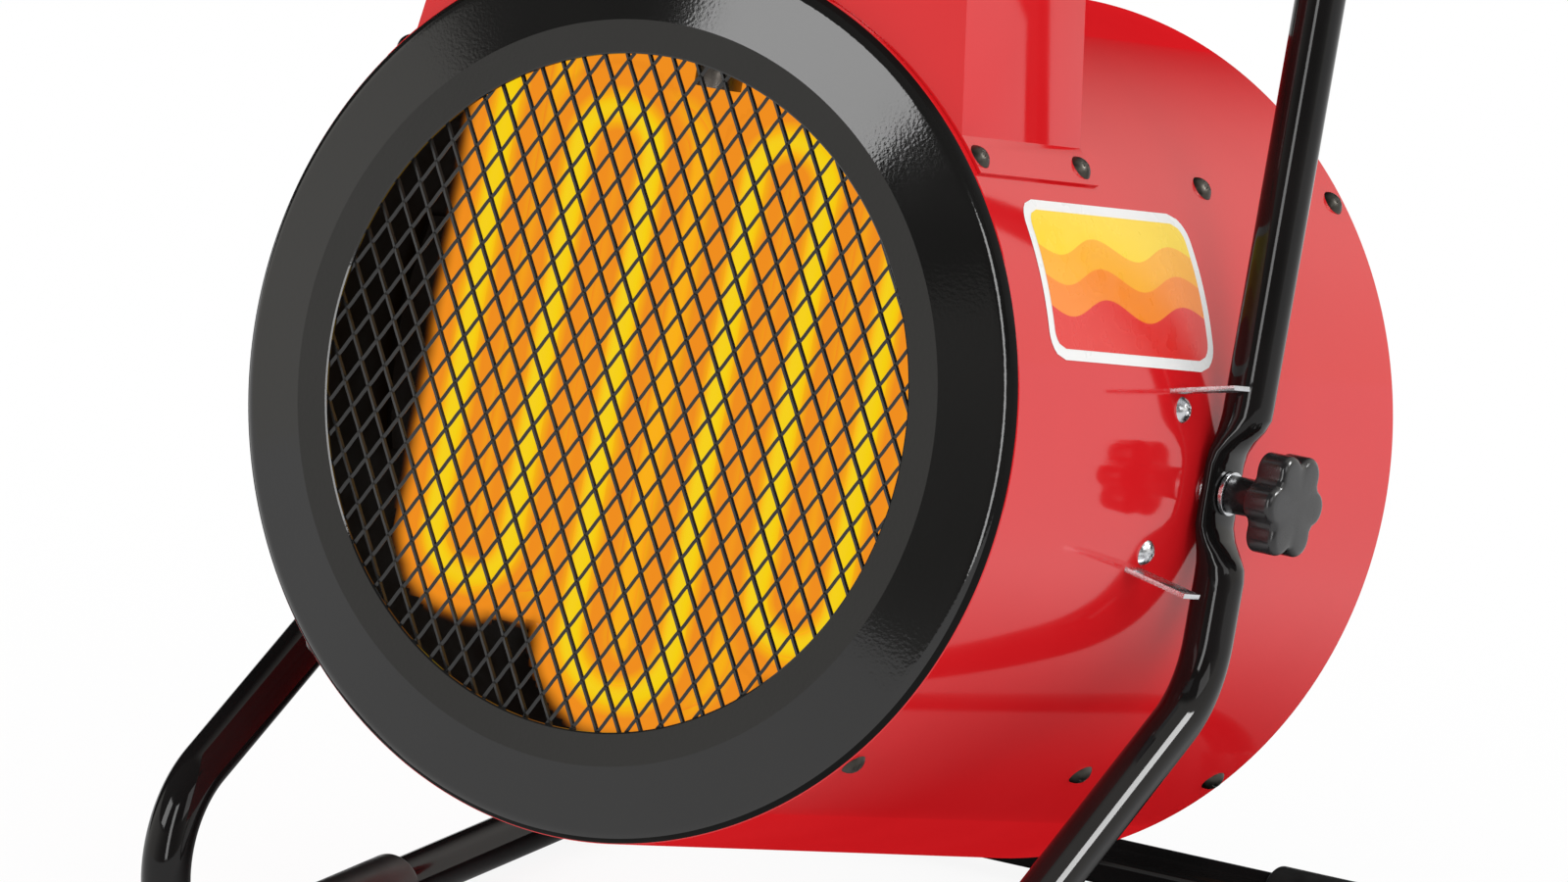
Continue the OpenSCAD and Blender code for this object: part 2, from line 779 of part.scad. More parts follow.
// Pan-head screw that points inwards along -X with the underside of its head at the origin
module pan_screw() {
    crown_r = (pow(screw_head_r, 2) + pow(screw_head_h, 2)) / (2 * screw_head_h);
    rotate([0, 90, 0]) {
        intersection() {
            translate([0, 0, screw_head_h - crown_r]) sphere(r = crown_r);
            cylinder(r = screw_head_r, h = screw_head_h);
        }
        translate([0, 0, -screw_l]) cylinder(r = screw_r, h = screw_l);
    }
}

module drum_screws() {
    color("#3a3836") in_drum() {
        for (angle = screw_angles, y = [bracket_y, rear_screw_y])
            at_clock(angle, y, drum_r + tight_gap) pan_screw();
        ring_screw_places() translate([tight_gap, 0, 0]) pan_screw();
    }
}

module box_screws() {
    color("#3a3836") in_drum() box_screw_places(box_seat_r + box_t + tight_gap) pan_screw();
}

module bracket_screws() {
    color(zinc) in_drum() both_sides() for (place = tab_screws)
        at_clock(place[0], place[1], drum_r + tight_gap) pan_screw();
}

module motor_arms() {
    for (angle = screw_angles) rotate(angle) translate([0, -arm_w / 2]) square([drum_r, arm_w]);
}

// Four-armed plate that carries the motor, with its ends turned along the drum's wall
module motor_bracket() {
    color(paint_black) in_drum() difference() {
        union() {
            along(arm_y, arm_y + arm_t) intersection() {
                circle(r = nest_r);
                union() {
                    circle(r = motor_r + 2);
                    motor_arms();
                }
            }
            along(arm_y + arm_t - arm_tab_l, arm_y + arm_t) intersection() {
                difference() {
                    circle(r = nest_r);
                    circle(r = nest_r - arm_t);
                }
                motor_arms();
            }
        }
        for (angle = screw_angles) at_clock(angle, bracket_y, nest_r) screw_hole();
        along(arm_y - over, arm_y + arm_t + over) circle(r = hub_r);
        motor_bolt_places() cylinder(r = bolt_r + slide_gap, h = 4 * arm_t, center = true);
    }
}

module motor_bolt_places() {
    for (angle = [0:90:270])
        rotate([0, angle, 0]) translate([bolt_circle_r, motor_y, 0]) rotate([90, 0, 0]) children();
}

// Closed motor with cast end caps and cooling slots round its waist
module motor() {
    cap = 6;
    nose = 4;
    slot_n = 10;
    slot_w = 6;
    slot_d = 3;
    y1 = motor_y + motor_l;
    color(steel) in_drum() difference() {
        round_axis() polygon([
            [shaft_r + run_gap, motor_y],
            [motor_r - cap, motor_y],
            [motor_r, motor_y + cap],
            [motor_r, y1 - cap],
            [motor_r - cap, y1],
            [hub_r / 2, y1],
            [hub_r / 2, y1 + nose],
            [0, y1 + nose],
            [0, motor_y + shaft_deep],
            [shaft_r + run_gap, motor_y + shaft_deep]
        ]);
        for (i = [0:slot_n - 1]) rotate([0, i * 360 / slot_n, 0])
            translate([motor_r - slot_d, motor_y + 2 * cap, -slot_w / 2])
                cube([2 * slot_d, motor_l - 4 * cap, slot_w]);
        motor_bolt_places() cylinder(r = bolt_r + tight_gap, h = 4 * cap, center = true);
    }
}

module motor_bolts() {
    head_r = 4;
    head_h = 3;
    color(zinc) in_drum() motor_bolt_places() {
        translate([0, 0, arm_t]) cylinder(r = head_r, h = head_h);
        translate([0, 0, -8]) cylinder(r = bolt_r, h = 8 + arm_t);
    }
}

// Ring inside the drum's rear edge that the guard is welded to
module rear_ring() {
    skirt_l = 18;
    color(paint_black) in_drum() difference() {
        translate([0, drum_y1, 0]) round_axis() polygon([
            [guard_ring_in, -3],
            [nest_r - ring_t, -3],
            [nest_r - ring_t, -3 - skirt_l],
            [nest_r, -3 - skirt_l],
            [nest_r, -3 + ring_t],
            [guard_ring_in, -3 + ring_t]
        ]);
        for (angle = screw_angles) at_clock(angle, rear_screw_y, nest_r) screw_hole();
    }
}

// Wire rings welded to flat bars across the fan's inlet
module rear_guard() {
    bar_l = 2 * (guard_ring_in + 8);
    color(paint_black) in_drum() translate([0, guard_bar_y, 0]) {
        translate([0, guard_bar_t + guard_wire_d * 0.3, 0])
            for (r = [guard_first:guard_step:guard_ring_in - guard_wire_d])
                round_axis() translate([r, 0]) circle(d = guard_wire_d, $fn = 32);
        along(0, guard_bar_t) for (angle = [0:45:135])
            rotate(angle) square([bar_l, guard_bar_w], center = true);
    }
}

// Pressed-sheet blade along +X, cambered about its own length, then set to its pitch
module fan_blade() {
    rotate([blade_pitch, 0, 0]) intersection() {
        linear_extrude(fan_r, center = true) polygon([
            [hub_r - 3, -blade_root],
            [fan_r + over, -blade_tip],
            [fan_r + over, blade_tip],
            [hub_r - 3, blade_root]
        ]);
        translate([0, 0, -blade_camber_r]) rotate([0, 90, 0]) difference() {
            cylinder(r = blade_camber_r + blade_t / 2, h = drum_d);
            translate([0, 0, -over]) cylinder(r = blade_camber_r - blade_t / 2, h = drum_d + 2 * over);
        }
    }
}

module fan_impeller() {
    color("#b9bcc0") in_drum() difference() {
        union() {
            along(hub_y0, hub_y0 + hub_l) circle(r = hub_r);
            intersection() {
                for (i = [0:blade_n - 1]) rotate([0, i * 360 / blade_n, 0]) fan_blade();
                along(-fan_r, fan_r) circle(r = fan_r);
            }
        }
        along(hub_y0 - over, hub_y0 + hub_l + over) circle(r = shaft_r + tight_gap);
    }
}

module fan_shaft() {
    color(zinc) in_drum() along(shaft_y0, motor_y + shaft_deep - face_gap) circle(r = shaft_r);
}

module fan_nut() {
    nut_l = 7;
    color(zinc) in_drum() along(hub_y0 - nut_l, hub_y0) difference() {
        hexagon(shaft_d * 1.65);
        circle(r = shaft_r + tight_gap);
    }
}

// Six-lobed moulded knob on a boss, bored for its stud
module clamp_knob() {
    lobe_r = knob_d * 0.16;
    core_r = knob_d * 0.4;
    lobe_at = knob_d / 2 - lobe_r;
    in_drum() rotate([0, 90, 0]) difference() {
        union() {
            translate([0, 0, knob_x - knob_boss_l]) cylinder(r = boss_r, h = knob_boss_l);
            translate([0, 0, knob_x]) linear_extrude(knob_t) {
                circle(r = core_r);
                for (i = [0:5]) rotate(i * 60 + 30) translate([lobe_at, 0]) circle(r = lobe_r);
            }
        }
        cylinder(r = stud_r + tight_gap, h = stud_outer_x + tight_gap);
    }
}

module clamp_stud() {
    in_drum() rotate([0, 90, 0]) translate([0, 0, stud_inner_x])
        cylinder(r = stud_r, h = stud_outer_x - stud_inner_x);
}

module clamp_washer() {
    in_drum() translate([washer_x, 0, 0]) rotate([0, 90, 0]) linear_extrude(washer_t) difference() {
        circle(r = washer_r);
        circle(r = stud_r + run_gap);
    }
}

// Draws a right-hand piece, or its mirror image on the left
module handed(side) {
    if (side == "left") mirror([1, 0, 0]) children();
    else children();
}

handle_bar();
for (side = ["left", "right"]) {
    color(paint_black) handed(side) upright();
    color(paint_black) handed(side) leg();
    color(paint_black) handed(side) rail();
    color("#222222") handed(side) front_foot();
    color("#222222") handed(side) rear_foot();
    color(zinc) handed(side) stop_bracket();
    color(moulded) handed(side) clamp_knob();
    color(zinc) handed(side) clamp_stud();
    color(zinc) handed(side) clamp_washer();
}
rear_bar();
drum();
front_ring();
front_grille();
element(element_y0);  // front_element
element(element_y1);  // rear_element
terminal_tray();
element_nuts();
thermal_cutout();
terminal_block();
control_box();
cable_gland();
selector_switch();
thermostat();
dial(-dial_x);  // selector_dial
spindle(-dial_x);  // selector_spindle
dial(dial_x);  // thermostat_dial
spindle(dial_x);  // thermostat_spindle
pivot_nuts();
pivot_spacers();
bracket_screws();
drum_screws();
box_screws();
motor_bracket();
motor();
motor_bolts();
rear_ring();
rear_guard();
fan_impeller();
fan_shaft();
fan_nut();
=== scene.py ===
import math
import bpy
import bmesh
import numpy as np
from mathutils import Matrix, Vector


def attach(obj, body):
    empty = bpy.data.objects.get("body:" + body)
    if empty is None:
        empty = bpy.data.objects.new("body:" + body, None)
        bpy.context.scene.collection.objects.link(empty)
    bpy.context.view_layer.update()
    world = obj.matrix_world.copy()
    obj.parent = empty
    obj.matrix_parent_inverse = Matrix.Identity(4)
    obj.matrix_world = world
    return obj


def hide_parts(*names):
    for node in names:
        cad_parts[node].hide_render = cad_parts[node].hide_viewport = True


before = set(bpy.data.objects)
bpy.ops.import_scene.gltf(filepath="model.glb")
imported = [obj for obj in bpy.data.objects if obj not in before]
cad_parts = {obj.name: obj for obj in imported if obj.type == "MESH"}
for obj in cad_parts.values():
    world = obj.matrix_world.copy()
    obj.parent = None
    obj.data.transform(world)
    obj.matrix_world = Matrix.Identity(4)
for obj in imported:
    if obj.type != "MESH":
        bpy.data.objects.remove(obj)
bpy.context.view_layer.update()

# Camera: a long lens from the front right, a little above the drum's middle, as the heater was photographed.
# The drum leans back by its tilt, so the lens looks almost along its axis in height.
MM = 0.001
PIVOT, TILT = Vector((0.0, -1.5385, 195.1)), math.radians(15.0)
LENS, SENSOR, DISTANCE = 367.46, 36.0, 5.0
AIM_Y, AIM_RIGHT, AIM_DOWN = -126.8, 49.43, 14.79
drum_frame = Matrix.Scale(MM, 4) @ Matrix.Translation(PIVOT) @ Matrix.Rotation(-TILT, 4, "X")
azimuth, elevation, roll = (math.radians(angle) for angle in (31.896, 16.077, 2.094))
toward = Vector((math.sin(azimuth) * math.cos(elevation), -math.cos(azimuth) * math.cos(elevation),
                 math.sin(elevation)))
level = Vector((math.cos(azimuth), math.sin(azimuth), 0.0))
upward = toward.cross(level)
right = level * math.cos(roll) + upward * math.sin(roll)
above = upward * math.cos(roll) - level * math.sin(roll)
aim = drum_frame @ Vector((0.0, AIM_Y, 0.0)) + (right * AIM_RIGHT - above * AIM_DOWN) * MM
camera = bpy.data.objects.new("Camera", bpy.data.cameras.new("Camera"))
camera.data.lens = LENS
camera.data.sensor_width = SENSOR
camera.data.clip_end = 50.0
camera.matrix_world = (Matrix.Translation(aim + toward * DISTANCE)
                       @ Matrix((right, above, toward)).transposed().to_4x4())
bpy.context.collection.objects.link(camera)
bpy.context.scene.camera = camera

# Stand: one closed loop of 16 mm steel tube, bent into handle, uprights, legs, floor rails and rear cross tube.
# The outer side is pressed in at the tilt axis to seat the clamp knob. Sprayed with gloss black paint.
TUBE_R, BEND_R, TUBE_X, TUBE_SIDES = 8.0, 36.0, 149.8, 40
LEAN, SLOPE = math.radians(14.7), math.radians(25.7)
RAIL_Z, FRONT_Y, REAR_Y, HANDLE = -184.7, -150.5, 152.0, 240.0
SEAT_OUT, SEAT_FLAT, SEAT_RUN, SEAT_SQUARE, SEAT_WIDEN = -2.0, 9.0, 17.0, 0.4, 0.3


def rounded_path(corners, radius, step=math.radians(4.0)):
    """The corners' polyline with each inner corner turned into an arc, as points along the way."""
    points = [corners[0]]
    for before, corner, after in zip(corners, corners[1:], corners[2:]):
        back, on = (before - corner).normalized(), (after - corner).normalized()
        turn = math.pi - back.angle(on)
        reach = radius * math.tan(turn / 2)
        centre = corner + (back + on).normalized() * (radius / math.cos(turn / 2))
        first, last = corner + back * reach - centre, corner + on * reach - centre
        count = max(4, round(turn / step))
        for i in range(count + 1):
            a = turn * i / count
            points.append(centre + (first * math.sin(turn - a) + last * math.sin(a)) / math.sin(turn))
    points.append(corners[-1])
    return points


def filled(points, gap):
    """The same way with points added so that none lie further apart than the gap."""
    way = [points[0]]
    for a, b in zip(points, points[1:]):
        count = max(1, math.ceil((b - a).length / gap - 1e-6))
        way += [a.lerp(b, i / count) for i in range(1, count + 1)]
    return way


def skin(rings, sides, closed=True):
    """Quads between rings of so many sides each, with the last ring joined to the first where the skin is closed."""
    return [(i * sides + k, i * sides + (k + 1) % sides, (i + 1) % rings * sides + (k + 1) % sides,
             (i + 1) % rings * sides + k) for i in range(rings if closed else rings - 1) for k in range(sides)]


def new_piece(name, verts, faces, materials, place=drum_frame, sharp=35.0, spots=None):
    """A smooth-shaded mesh object from points in millimetres of the drum's frame, or of another place."""
    mesh = bpy.data.meshes.new(name)
    mesh.from_pydata([tuple(v) for v in verts], [], faces)
    mesh.transform(place)
    work = bmesh.new()
    work.from_mesh(mesh)
    bmesh.ops.recalc_face_normals(work, faces=work.faces)
    work.to_mesh(mesh)
    work.free()
    for material in materials:
        mesh.materials.append(material)
    if spots:
        mesh.polygons.foreach_set("material_index", spots)
    mesh.shade_smooth()
    mesh.set_sharp_from_angle(angle=math.radians(sharp))
    piece = bpy.data.objects.new(name, mesh)
    bpy.context.collection.objects.link(piece)
    return piece


def plug(made, **values):
    """Sets a node's properties, or its inputs by name or by number as i0, i1, i2. A socket is linked to its input."""
    for key, value in values.items():
        if hasattr(made, key):
            setattr(made, key, value)
            continue
        socket = made.inputs[int(key[1:])] if key[1:].isdigit() else made.inputs[key.replace("_", " ")]
        if isinstance(value, bpy.types.NodeSocket):
            made.id_data.links.new(value, socket)
        else:
            socket.default_value = value
    return made


def new_material(name):
    """A plain node material, with the maker of its nodes, its shader and its Object coordinates."""
    material = bpy.data.materials.new(name)
    material.use_nodes = True
    tree = material.node_tree

    def node(kind, **values):
        return plug(tree.nodes.new(kind), **values)

    return material, node, tree.nodes["Principled BSDF"], node("ShaderNodeTexCoord").outputs["Object"]


def noise(node, coords, scale, detail=2.0):
    """Noise of the given scale on Object coordinates, as a factor from 0 to 1."""
    return node("ShaderNodeTexNoise", Scale=scale, Detail=detail, Vector=coords).outputs["Fac"]


def ramp(node, factor, stops, blend="LINEAR"):
    """A colour ramp over the factor, from (place, colour) stops."""
    made = node("ShaderNodeValToRGB", Fac=factor)
    bar = made.color_ramp
    bar.interpolation = blend
    while len(bar.elements) < len(stops):
        bar.elements.new(0.5)
    for element, (place, colour) in zip(bar.elements, stops):
        element.position = place
        element.color = (*colour, 1.0)
    return made.outputs["Color"]


def clouded(node, coords, scale, detail, dark, light):
    """A colour that drifts between dark and light in soft patches."""
    return ramp(node, noise(node, coords, scale, detail), [(0.3, dark), (0.7, light)])


def spread(node, factor, low, high):
    """The middle of the factor's range spread from low to high."""
    return node("ShaderNodeMapRange", Value=factor, From_Min=0.3, From_Max=0.7, To_Min=low,
                To_Max=high).outputs["Result"]


def bump(node, height, strength, distance=0.0002):
    """The surface's normal, bumped by the height."""
    return node("ShaderNodeBump", Strength=strength, Distance=distance, Height=height).outputs["Normal"]


def sprayed_paint(name, dark, light, rough, peel=0.05, gloss=0.5, patch=18.0):
    """Sprayed paint on metal: slight clouding, uneven gloss and a fine orange peel."""
    material, node, shader, coords = new_material(name)
    plug(shader, Base_Color=clouded(node, coords, patch, 3.0, dark, light),
         Roughness=spread(node, noise(node, coords, patch * 4), *rough),
         Normal=bump(node, noise(node, coords, 900.0, 1.0), peel), Specular_IOR_Level=gloss)
    return material


tube_black = sprayed_paint("tube_black", (0.005, 0.005, 0.005), (0.009, 0.008, 0.008), (0.05, 0.09), 0.012, 0.25)

hairpin = Vector((0.0, FRONT_Y + BEND_R, RAIL_Z + BEND_R))
leg_on = hairpin + Vector((0.0, -math.sin(SLOPE), math.cos(SLOPE))) * BEND_R
leg_way = Vector((0.0, math.cos(SLOPE), math.sin(SLOPE)))
knee = leg_on + leg_way * ((leg_on.z * math.sin(LEAN) - leg_on.y * math.cos(LEAN)) / math.cos(LEAN + SLOPE))
toe = leg_on - leg_way * ((leg_on.z - RAIL_Z) / math.sin(SLOPE))
top = Vector((0.0, math.sin(LEAN), math.cos(LEAN))) * HANDLE
side = Vector((TUBE_X, 0.0, 0.0))
heel, rear_middle = Vector((TUBE_X, REAR_Y, RAIL_Z)), Vector((0.0, REAR_Y, RAIL_Z))
half_loop = filled(rounded_path([top, top + side, knee + side, toe + side, heel, rear_middle], BEND_R), 4.0)
loop = half_loop[:-1] + [Vector((-p.x, p.y, p.z)) for p in reversed(half_loop[1:])]
verts, across = [], Vector((0.0, -math.cos(LEAN), math.sin(LEAN)))
for i, point in enumerate(loop):
    along = (loop[(i + 1) % len(loop)] - loop[i - 1]).normalized()
    across = (across - along * across.dot(along)).normalized()
    third = along.cross(across)
    height = abs(point.y * math.sin(LEAN) + point.z * math.cos(LEAN))
    pressed = 0.0
    if abs(abs(point.x) - TUBE_X) < 0.1 and height < SEAT_FLAT + SEAT_RUN:
        pressed = 0.5 + 0.5 * math.cos(math.pi * max(0.0, (height - SEAT_FLAT) / SEAT_RUN))
    for k in range(TUBE_SIDES):
        a = 2 * math.pi * k / TUBE_SIDES
        offset = (across * math.cos(a) + third * math.sin(a)) * TUBE_R
        if pressed:
            outward = math.copysign(1.0, point.x)
            out = offset.x * outward
            limit = TUBE_R + (SEAT_OUT - TUBE_R) * pressed
            flat = math.copysign(abs(out / TUBE_R) ** (1.0 - SEAT_SQUARE * pressed), out)
            out = (limit - TUBE_R) / 2 + flat * (limit + TUBE_R) / 2
            wide = 1 + SEAT_WIDEN * pressed
            offset = Vector((out * outward, offset.y * wide, offset.z * wide))
        verts.append(point + offset)
stand_frame = Matrix.Scale(MM, 4) @ Matrix.Translation(PIVOT)
stand_tube = new_piece("stand_tube", verts, skin(len(loop), TUBE_SIDES), [tube_black], stand_frame, 80.0)
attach(stand_tube, "stand")
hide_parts("handle_bar", "upright_left", "upright_right", "leg_left", "leg_right", "rail_left",
            "rail_right", "rear_bar")

# Rubber feet: extruded sleeves pushed over the floor rails and the rear cross tube, with rolled ends.
# Each has a worn flat underneath that the heater stands on.
FOOT_R, FOOT_ROLL, FOOT_FIT, FOOT_SIDES = 11.0, 1.5, 0.05, 64
FRONT_FOOT_Y, FRONT_FOOT_L, REAR_FOOT_L = -70.0, 52.0, 30.0
foot_rubber, node, shader, coords = new_material("foot_rubber")
plug(shader, Base_Color=clouded(node, coords, 60.0, 4.0, (0.008, 0.008, 0.008), (0.016, 0.016, 0.016)),
     Roughness=spread(node, noise(node, coords, 160.0, 3.0), 0.28, 0.42),
     Normal=bump(node, noise(node, coords, 1400.0), 0.12))
for name, start, way, length in [
        ("front_foot_left", (-TUBE_X, FRONT_FOOT_Y, RAIL_Z), (0, 1, 0), FRONT_FOOT_L),
        ("front_foot_right", (TUBE_X, FRONT_FOOT_Y, RAIL_Z), (0, 1, 0), FRONT_FOOT_L),
        ("rear_foot_left", (BEND_R - TUBE_X, REAR_Y, RAIL_Z), (1, 0, 0), REAR_FOOT_L),
        ("rear_foot_right", (TUBE_X - BEND_R - REAR_FOOT_L, REAR_Y, RAIL_Z), (1, 0, 0), REAR_FOOT_L)]:
    start, way = Vector(start), Vector(way)
    beside = way.cross(Vector((0, 0, 1)))
    outline = [(TUBE_R + FOOT_FIT, 0.0)]
    for i in range(7):
        a = math.pi / 2 * i / 6
        outline.append((FOOT_R - FOOT_ROLL + FOOT_ROLL * math.sin(a), FOOT_ROLL * (1 - math.cos(a))))
    outline += [(r, length - y) for r, y in reversed(outline)]
    verts = []
    for r, y in outline:
        for k in range(FOOT_SIDES):
            a = 2 * math.pi * k / FOOT_SIDES
            point = start + way * y + beside * (r * math.cos(a)) + Vector((0, 0, r * math.sin(a)))
            point.z = max(point.z, -PIVOT.z)
            verts.append(point)
    foot = new_piece("sleeve_" + name, verts, skin(len(outline), FOOT_SIDES), [foot_rubber], stand_frame)
    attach(foot, "stand")
    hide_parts(name)

# Drum: one sheet rolled to a cylinder and welded, painted gloss red outside; inside it is near-black, painted shade for
# the dark bore.
# Everything else on the heater is screwed or welded to it.
DRUM_R, BORE_R, DRUM_Y0, DRUM_Y1, FACE_Y, EASE = 140.8, 139.8, -125.5, 116.5, -134.0, 0.3
DRUM_SIDES, BORE_ROWS = 256, (7, 8)


def turned(profile, sides):
    """Points and faces of a closed profile of (radius, depth) turned about the drum's axis."""
    verts = [(r * math.cos(2 * math.pi * k / sides), y, r * math.sin(2 * math.pi * k / sides))
             for r, y in profile for k in range(sides)]
    return verts, skin(len(profile), sides)


# The red paint's gloss fades where it is seen at a raking angle, so the drum keeps its colour up to its outline.
red_paint = sprayed_paint("red_paint", (0.62, 0.010, 0.014), (0.67, 0.014, 0.018), (0.06, 0.09), 0.02, patch=9.0)
red_nodes = red_paint.node_tree.nodes
rake = red_nodes.new("ShaderNodeLayerWeight")
dull = plug(red_nodes.new("ShaderNodeMapRange"), Value=rake.outputs["Facing"], From_Min=0.57, From_Max=0.8, To_Min=0.5,
            To_Max=0.0)
plug(red_nodes["Principled BSDF"], Specular_IOR_Level=dull.outputs["Result"])
# Near-black matt painted shade, put inside the drum, on the ring's rim side and on the bracket inside the bore.
painted_shade_black = sprayed_paint("painted_shade_black", (0.0025, 0.0025, 0.0025), (0.005, 0.0045, 0.004), (0.6, 0.75), 0.2, 0.1)
drum_profile = [(DRUM_R, DRUM_Y0 + EASE), (DRUM_R, -60.0), (DRUM_R, 0.0), (DRUM_R, 60.0), (DRUM_R, DRUM_Y1 - EASE),
                (DRUM_R - EASE, DRUM_Y1), (BORE_R + EASE, DRUM_Y1), (BORE_R, DRUM_Y1 - EASE), (BORE_R, 0.0),
                (BORE_R, DRUM_Y0 + EASE), (BORE_R + EASE, DRUM_Y0), (DRUM_R - EASE, DRUM_Y0)]
verts, faces = turned(drum_profile, DRUM_SIDES)
spots = [int(i in BORE_ROWS) for i in range(len(drum_profile)) for k in range(DRUM_SIDES)]
drum = new_piece("rolled_drum", verts, faces, [red_paint, painted_shade_black], spots=spots)
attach(drum, "heater")
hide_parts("drum")

# Front ring: pressed from one disc, with a flat band round the outlet, a coned shoulder and a rolled rim.
# Gloss black stove enamel; the rim's outer side, skirt and back carry the near-black matt painted shade. Its skirt
# plugs into the drum, held by the drum's front screws.
RIM_AT, RIM_R, RING_SIDES, RIM_SHADE_FROM = (135.05, 10.84), 6.0, 320, 20
ring_black = sprayed_paint("ring_black", (0.006, 0.0058, 0.0056), (0.010, 0.0097, 0.0093), (0.06, 0.10), 0.10,
                           patch=7.0)
ring_profile = [(106.0, 0.8), (106.1, 0.3), (106.6, 0.0), (108.0, 0.0), (112.7, 0.0), (116.75, 0.0), (119.0, 0.57),
                (122.0, 1.33), (127.0, 2.6), (131.5, 3.75), (135.0, 4.64)]
for angle in range(75, 23, -3):
    a = math.radians(angle)
    ring_profile.append((RIM_AT[0] + RIM_R * math.cos(a), RIM_AT[1] - RIM_R * math.sin(a)))
ring_profile += [(139.5, 8.45), (139.5, 16.0), (139.5, 22.5), (138.3, 22.5), (138.3, 9.4), (136.2, 6.7),
                 (131.0, 4.95), (122.0, 2.5), (117.0, 1.2), (106.0, 1.2)]
verts, faces = turned([(r, FACE_Y + back) for r, back in ring_profile], RING_SIDES)
# From this row of the profile on, the ring gets the near-black painted shade.
spots = [int(i >= RIM_SHADE_FROM) for i in range(len(ring_profile)) for k in range(RING_SIDES)]
front_ring = new_piece("pressed_ring", verts, faces, [ring_black, painted_shade_black], sharp=12.0, spots=spots)
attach(front_ring, "heater")
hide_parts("front_ring")

# Front grille: expanded metal, one steel sheet slit and stretched so that its strands twist between the knots.
# Black enamel, spot-welded behind the ring's flat band.
MESH_W, MESH_H, MESH_TURN, MESH_AT = 8.9, 14.8, math.radians(-1.35), (3.4, -1.2)
MESH_R, MESH_BACK, MESH_COLUMNS, MESH_ROWS = 111.5, 1.75, 52, 32
STRAND_W, SHEET_T, STRAND_WAVE, STRAND_TWIST, KNOT = 1.1, 1.0, 0.08, math.radians(24.0), 0.7
grille_black = sprayed_paint("grille_black", (0.006, 0.006, 0.006), (0.014, 0.0135, 0.013), (0.22, 0.36), 0.1)


def node_tree(name, sizes):
    """A Geometry Nodes tree with named inputs: the maker of its nodes, its inputs and its way out."""
    tree = bpy.data.node_groups.new(name, "GeometryNodeTree")
    tree.interface.new_socket("Geometry", in_out="INPUT", socket_type="NodeSocketGeometry")
    for label, kind in sizes:
        tree.interface.new_socket(label, in_out="INPUT", socket_type="NodeSocket" + kind)
    tree.interface.new_socket("Geometry", in_out="OUTPUT", socket_type="NodeSocketGeometry")

    def add(kind, **values):
        return plug(tree.nodes.new(kind), **values)

    def leave(shape, finish):
        """Ends the tree: instances made real, and the finish put on."""
        whole = add("GeometryNodeRealizeInstances", Geometry=shape.outputs[0])
        coated = add("GeometryNodeSetMaterial", Geometry=whole.outputs[0], Material=finish)
        add("NodeGroupOutput", Geometry=coated.outputs[0])

    return tree, add, add("NodeGroupInput").outputs, leave


def grown(name, verts, edges, tree, sizes, place, sharp=35.0, marks=None):
    """Runs a node tree on points and edges, and returns the result as a plain mesh object in its place."""
    seed = bpy.data.meshes.new(name + "_seed")
    seed.from_pydata([tuple(v) for v in verts], edges, [])
    for label, values in (marks or {}).items():
        layer = seed.attributes.new(label, "FLOAT_VECTOR", "POINT")
        layer.data.foreach_set("vector", [c for v in values for c in v])
    source = bpy.data.objects.new(name + "_seed", seed)
    bpy.context.collection.objects.link(source)
    modifier = source.modifiers.new(name, "NODES")
    modifier.node_group = tree
    for item in tree.interface.items_tree:
        if item.in_out == "INPUT" and item.name in sizes:
            modifier[item.identifier] = sizes[item.name]
    ready = source.evaluated_get(bpy.context.evaluated_depsgraph_get())
    mesh = bpy.data.meshes.new_from_object(ready)
    source.modifiers.remove(modifier)
    bpy.data.objects.remove(source)
    mesh.transform(place)
    mesh.shade_smooth()
    mesh.set_sharp_from_angle(angle=math.radians(sharp))
    piece = bpy.data.objects.new(name, mesh)
    bpy.context.collection.objects.link(piece)
    return piece


strands, add, given, leave = node_tree("expanded_metal", [
    ("Strand", "Float"), ("Sheet", "Float"), ("Length", "Float"), ("Wave", "Float"), ("Enamel", "Material")])
size = add("ShaderNodeCombineXYZ", X=given["Length"], Y=given["Strand"], Z=given["Sheet"])
cut = add("GeometryNodeMeshCube", Size=size.outputs[0], Vertices_X=9)
apart = add("ShaderNodeSeparateXYZ", Vector=add("GeometryNodeInputPosition").outputs[0])
share = add("ShaderNodeMath", operation="DIVIDE", i0=apart.outputs["X"], i1=given["Length"])
phase = add("ShaderNodeMath", operation="MULTIPLY", i0=share.outputs[0], i1=2 * math.pi)
swing = add("ShaderNodeMath", operation="SINE", i0=phase.outputs[0])
sway = add("ShaderNodeMath", operation="MULTIPLY", i0=swing.outputs[0], i1=given["Wave"])
shift = add("ShaderNodeCombineXYZ", Y=sway.outputs[0])
bar = add("GeometryNodeSetPosition", Geometry=cut.outputs[0], Offset=shift.outputs[0])
lean = add("GeometryNodeInputNamedAttribute", data_type="FLOAT_VECTOR", Name="lean")
leave(add("GeometryNodeInstanceOnPoints", Points=given["Geometry"], Instance=bar.outputs[0],
          Rotation=lean.outputs[0]), given["Enamel"])
points, leans = [], []
steep = math.atan2(MESH_H, MESH_W)
for i in range(-MESH_COLUMNS, MESH_COLUMNS):
    for j in range(-MESH_ROWS, MESH_ROWS):
        x, z = (i + 0.5) * MESH_W / 2 + MESH_AT[0], (j + 0.5) * MESH_H / 2 + MESH_AT[1]
        if math.hypot(x, z) < MESH_R:
            points.append((x, z, 0.0))
            leans.append((STRAND_TWIST, 0.0, steep if (i + j) % 2 else -steep))
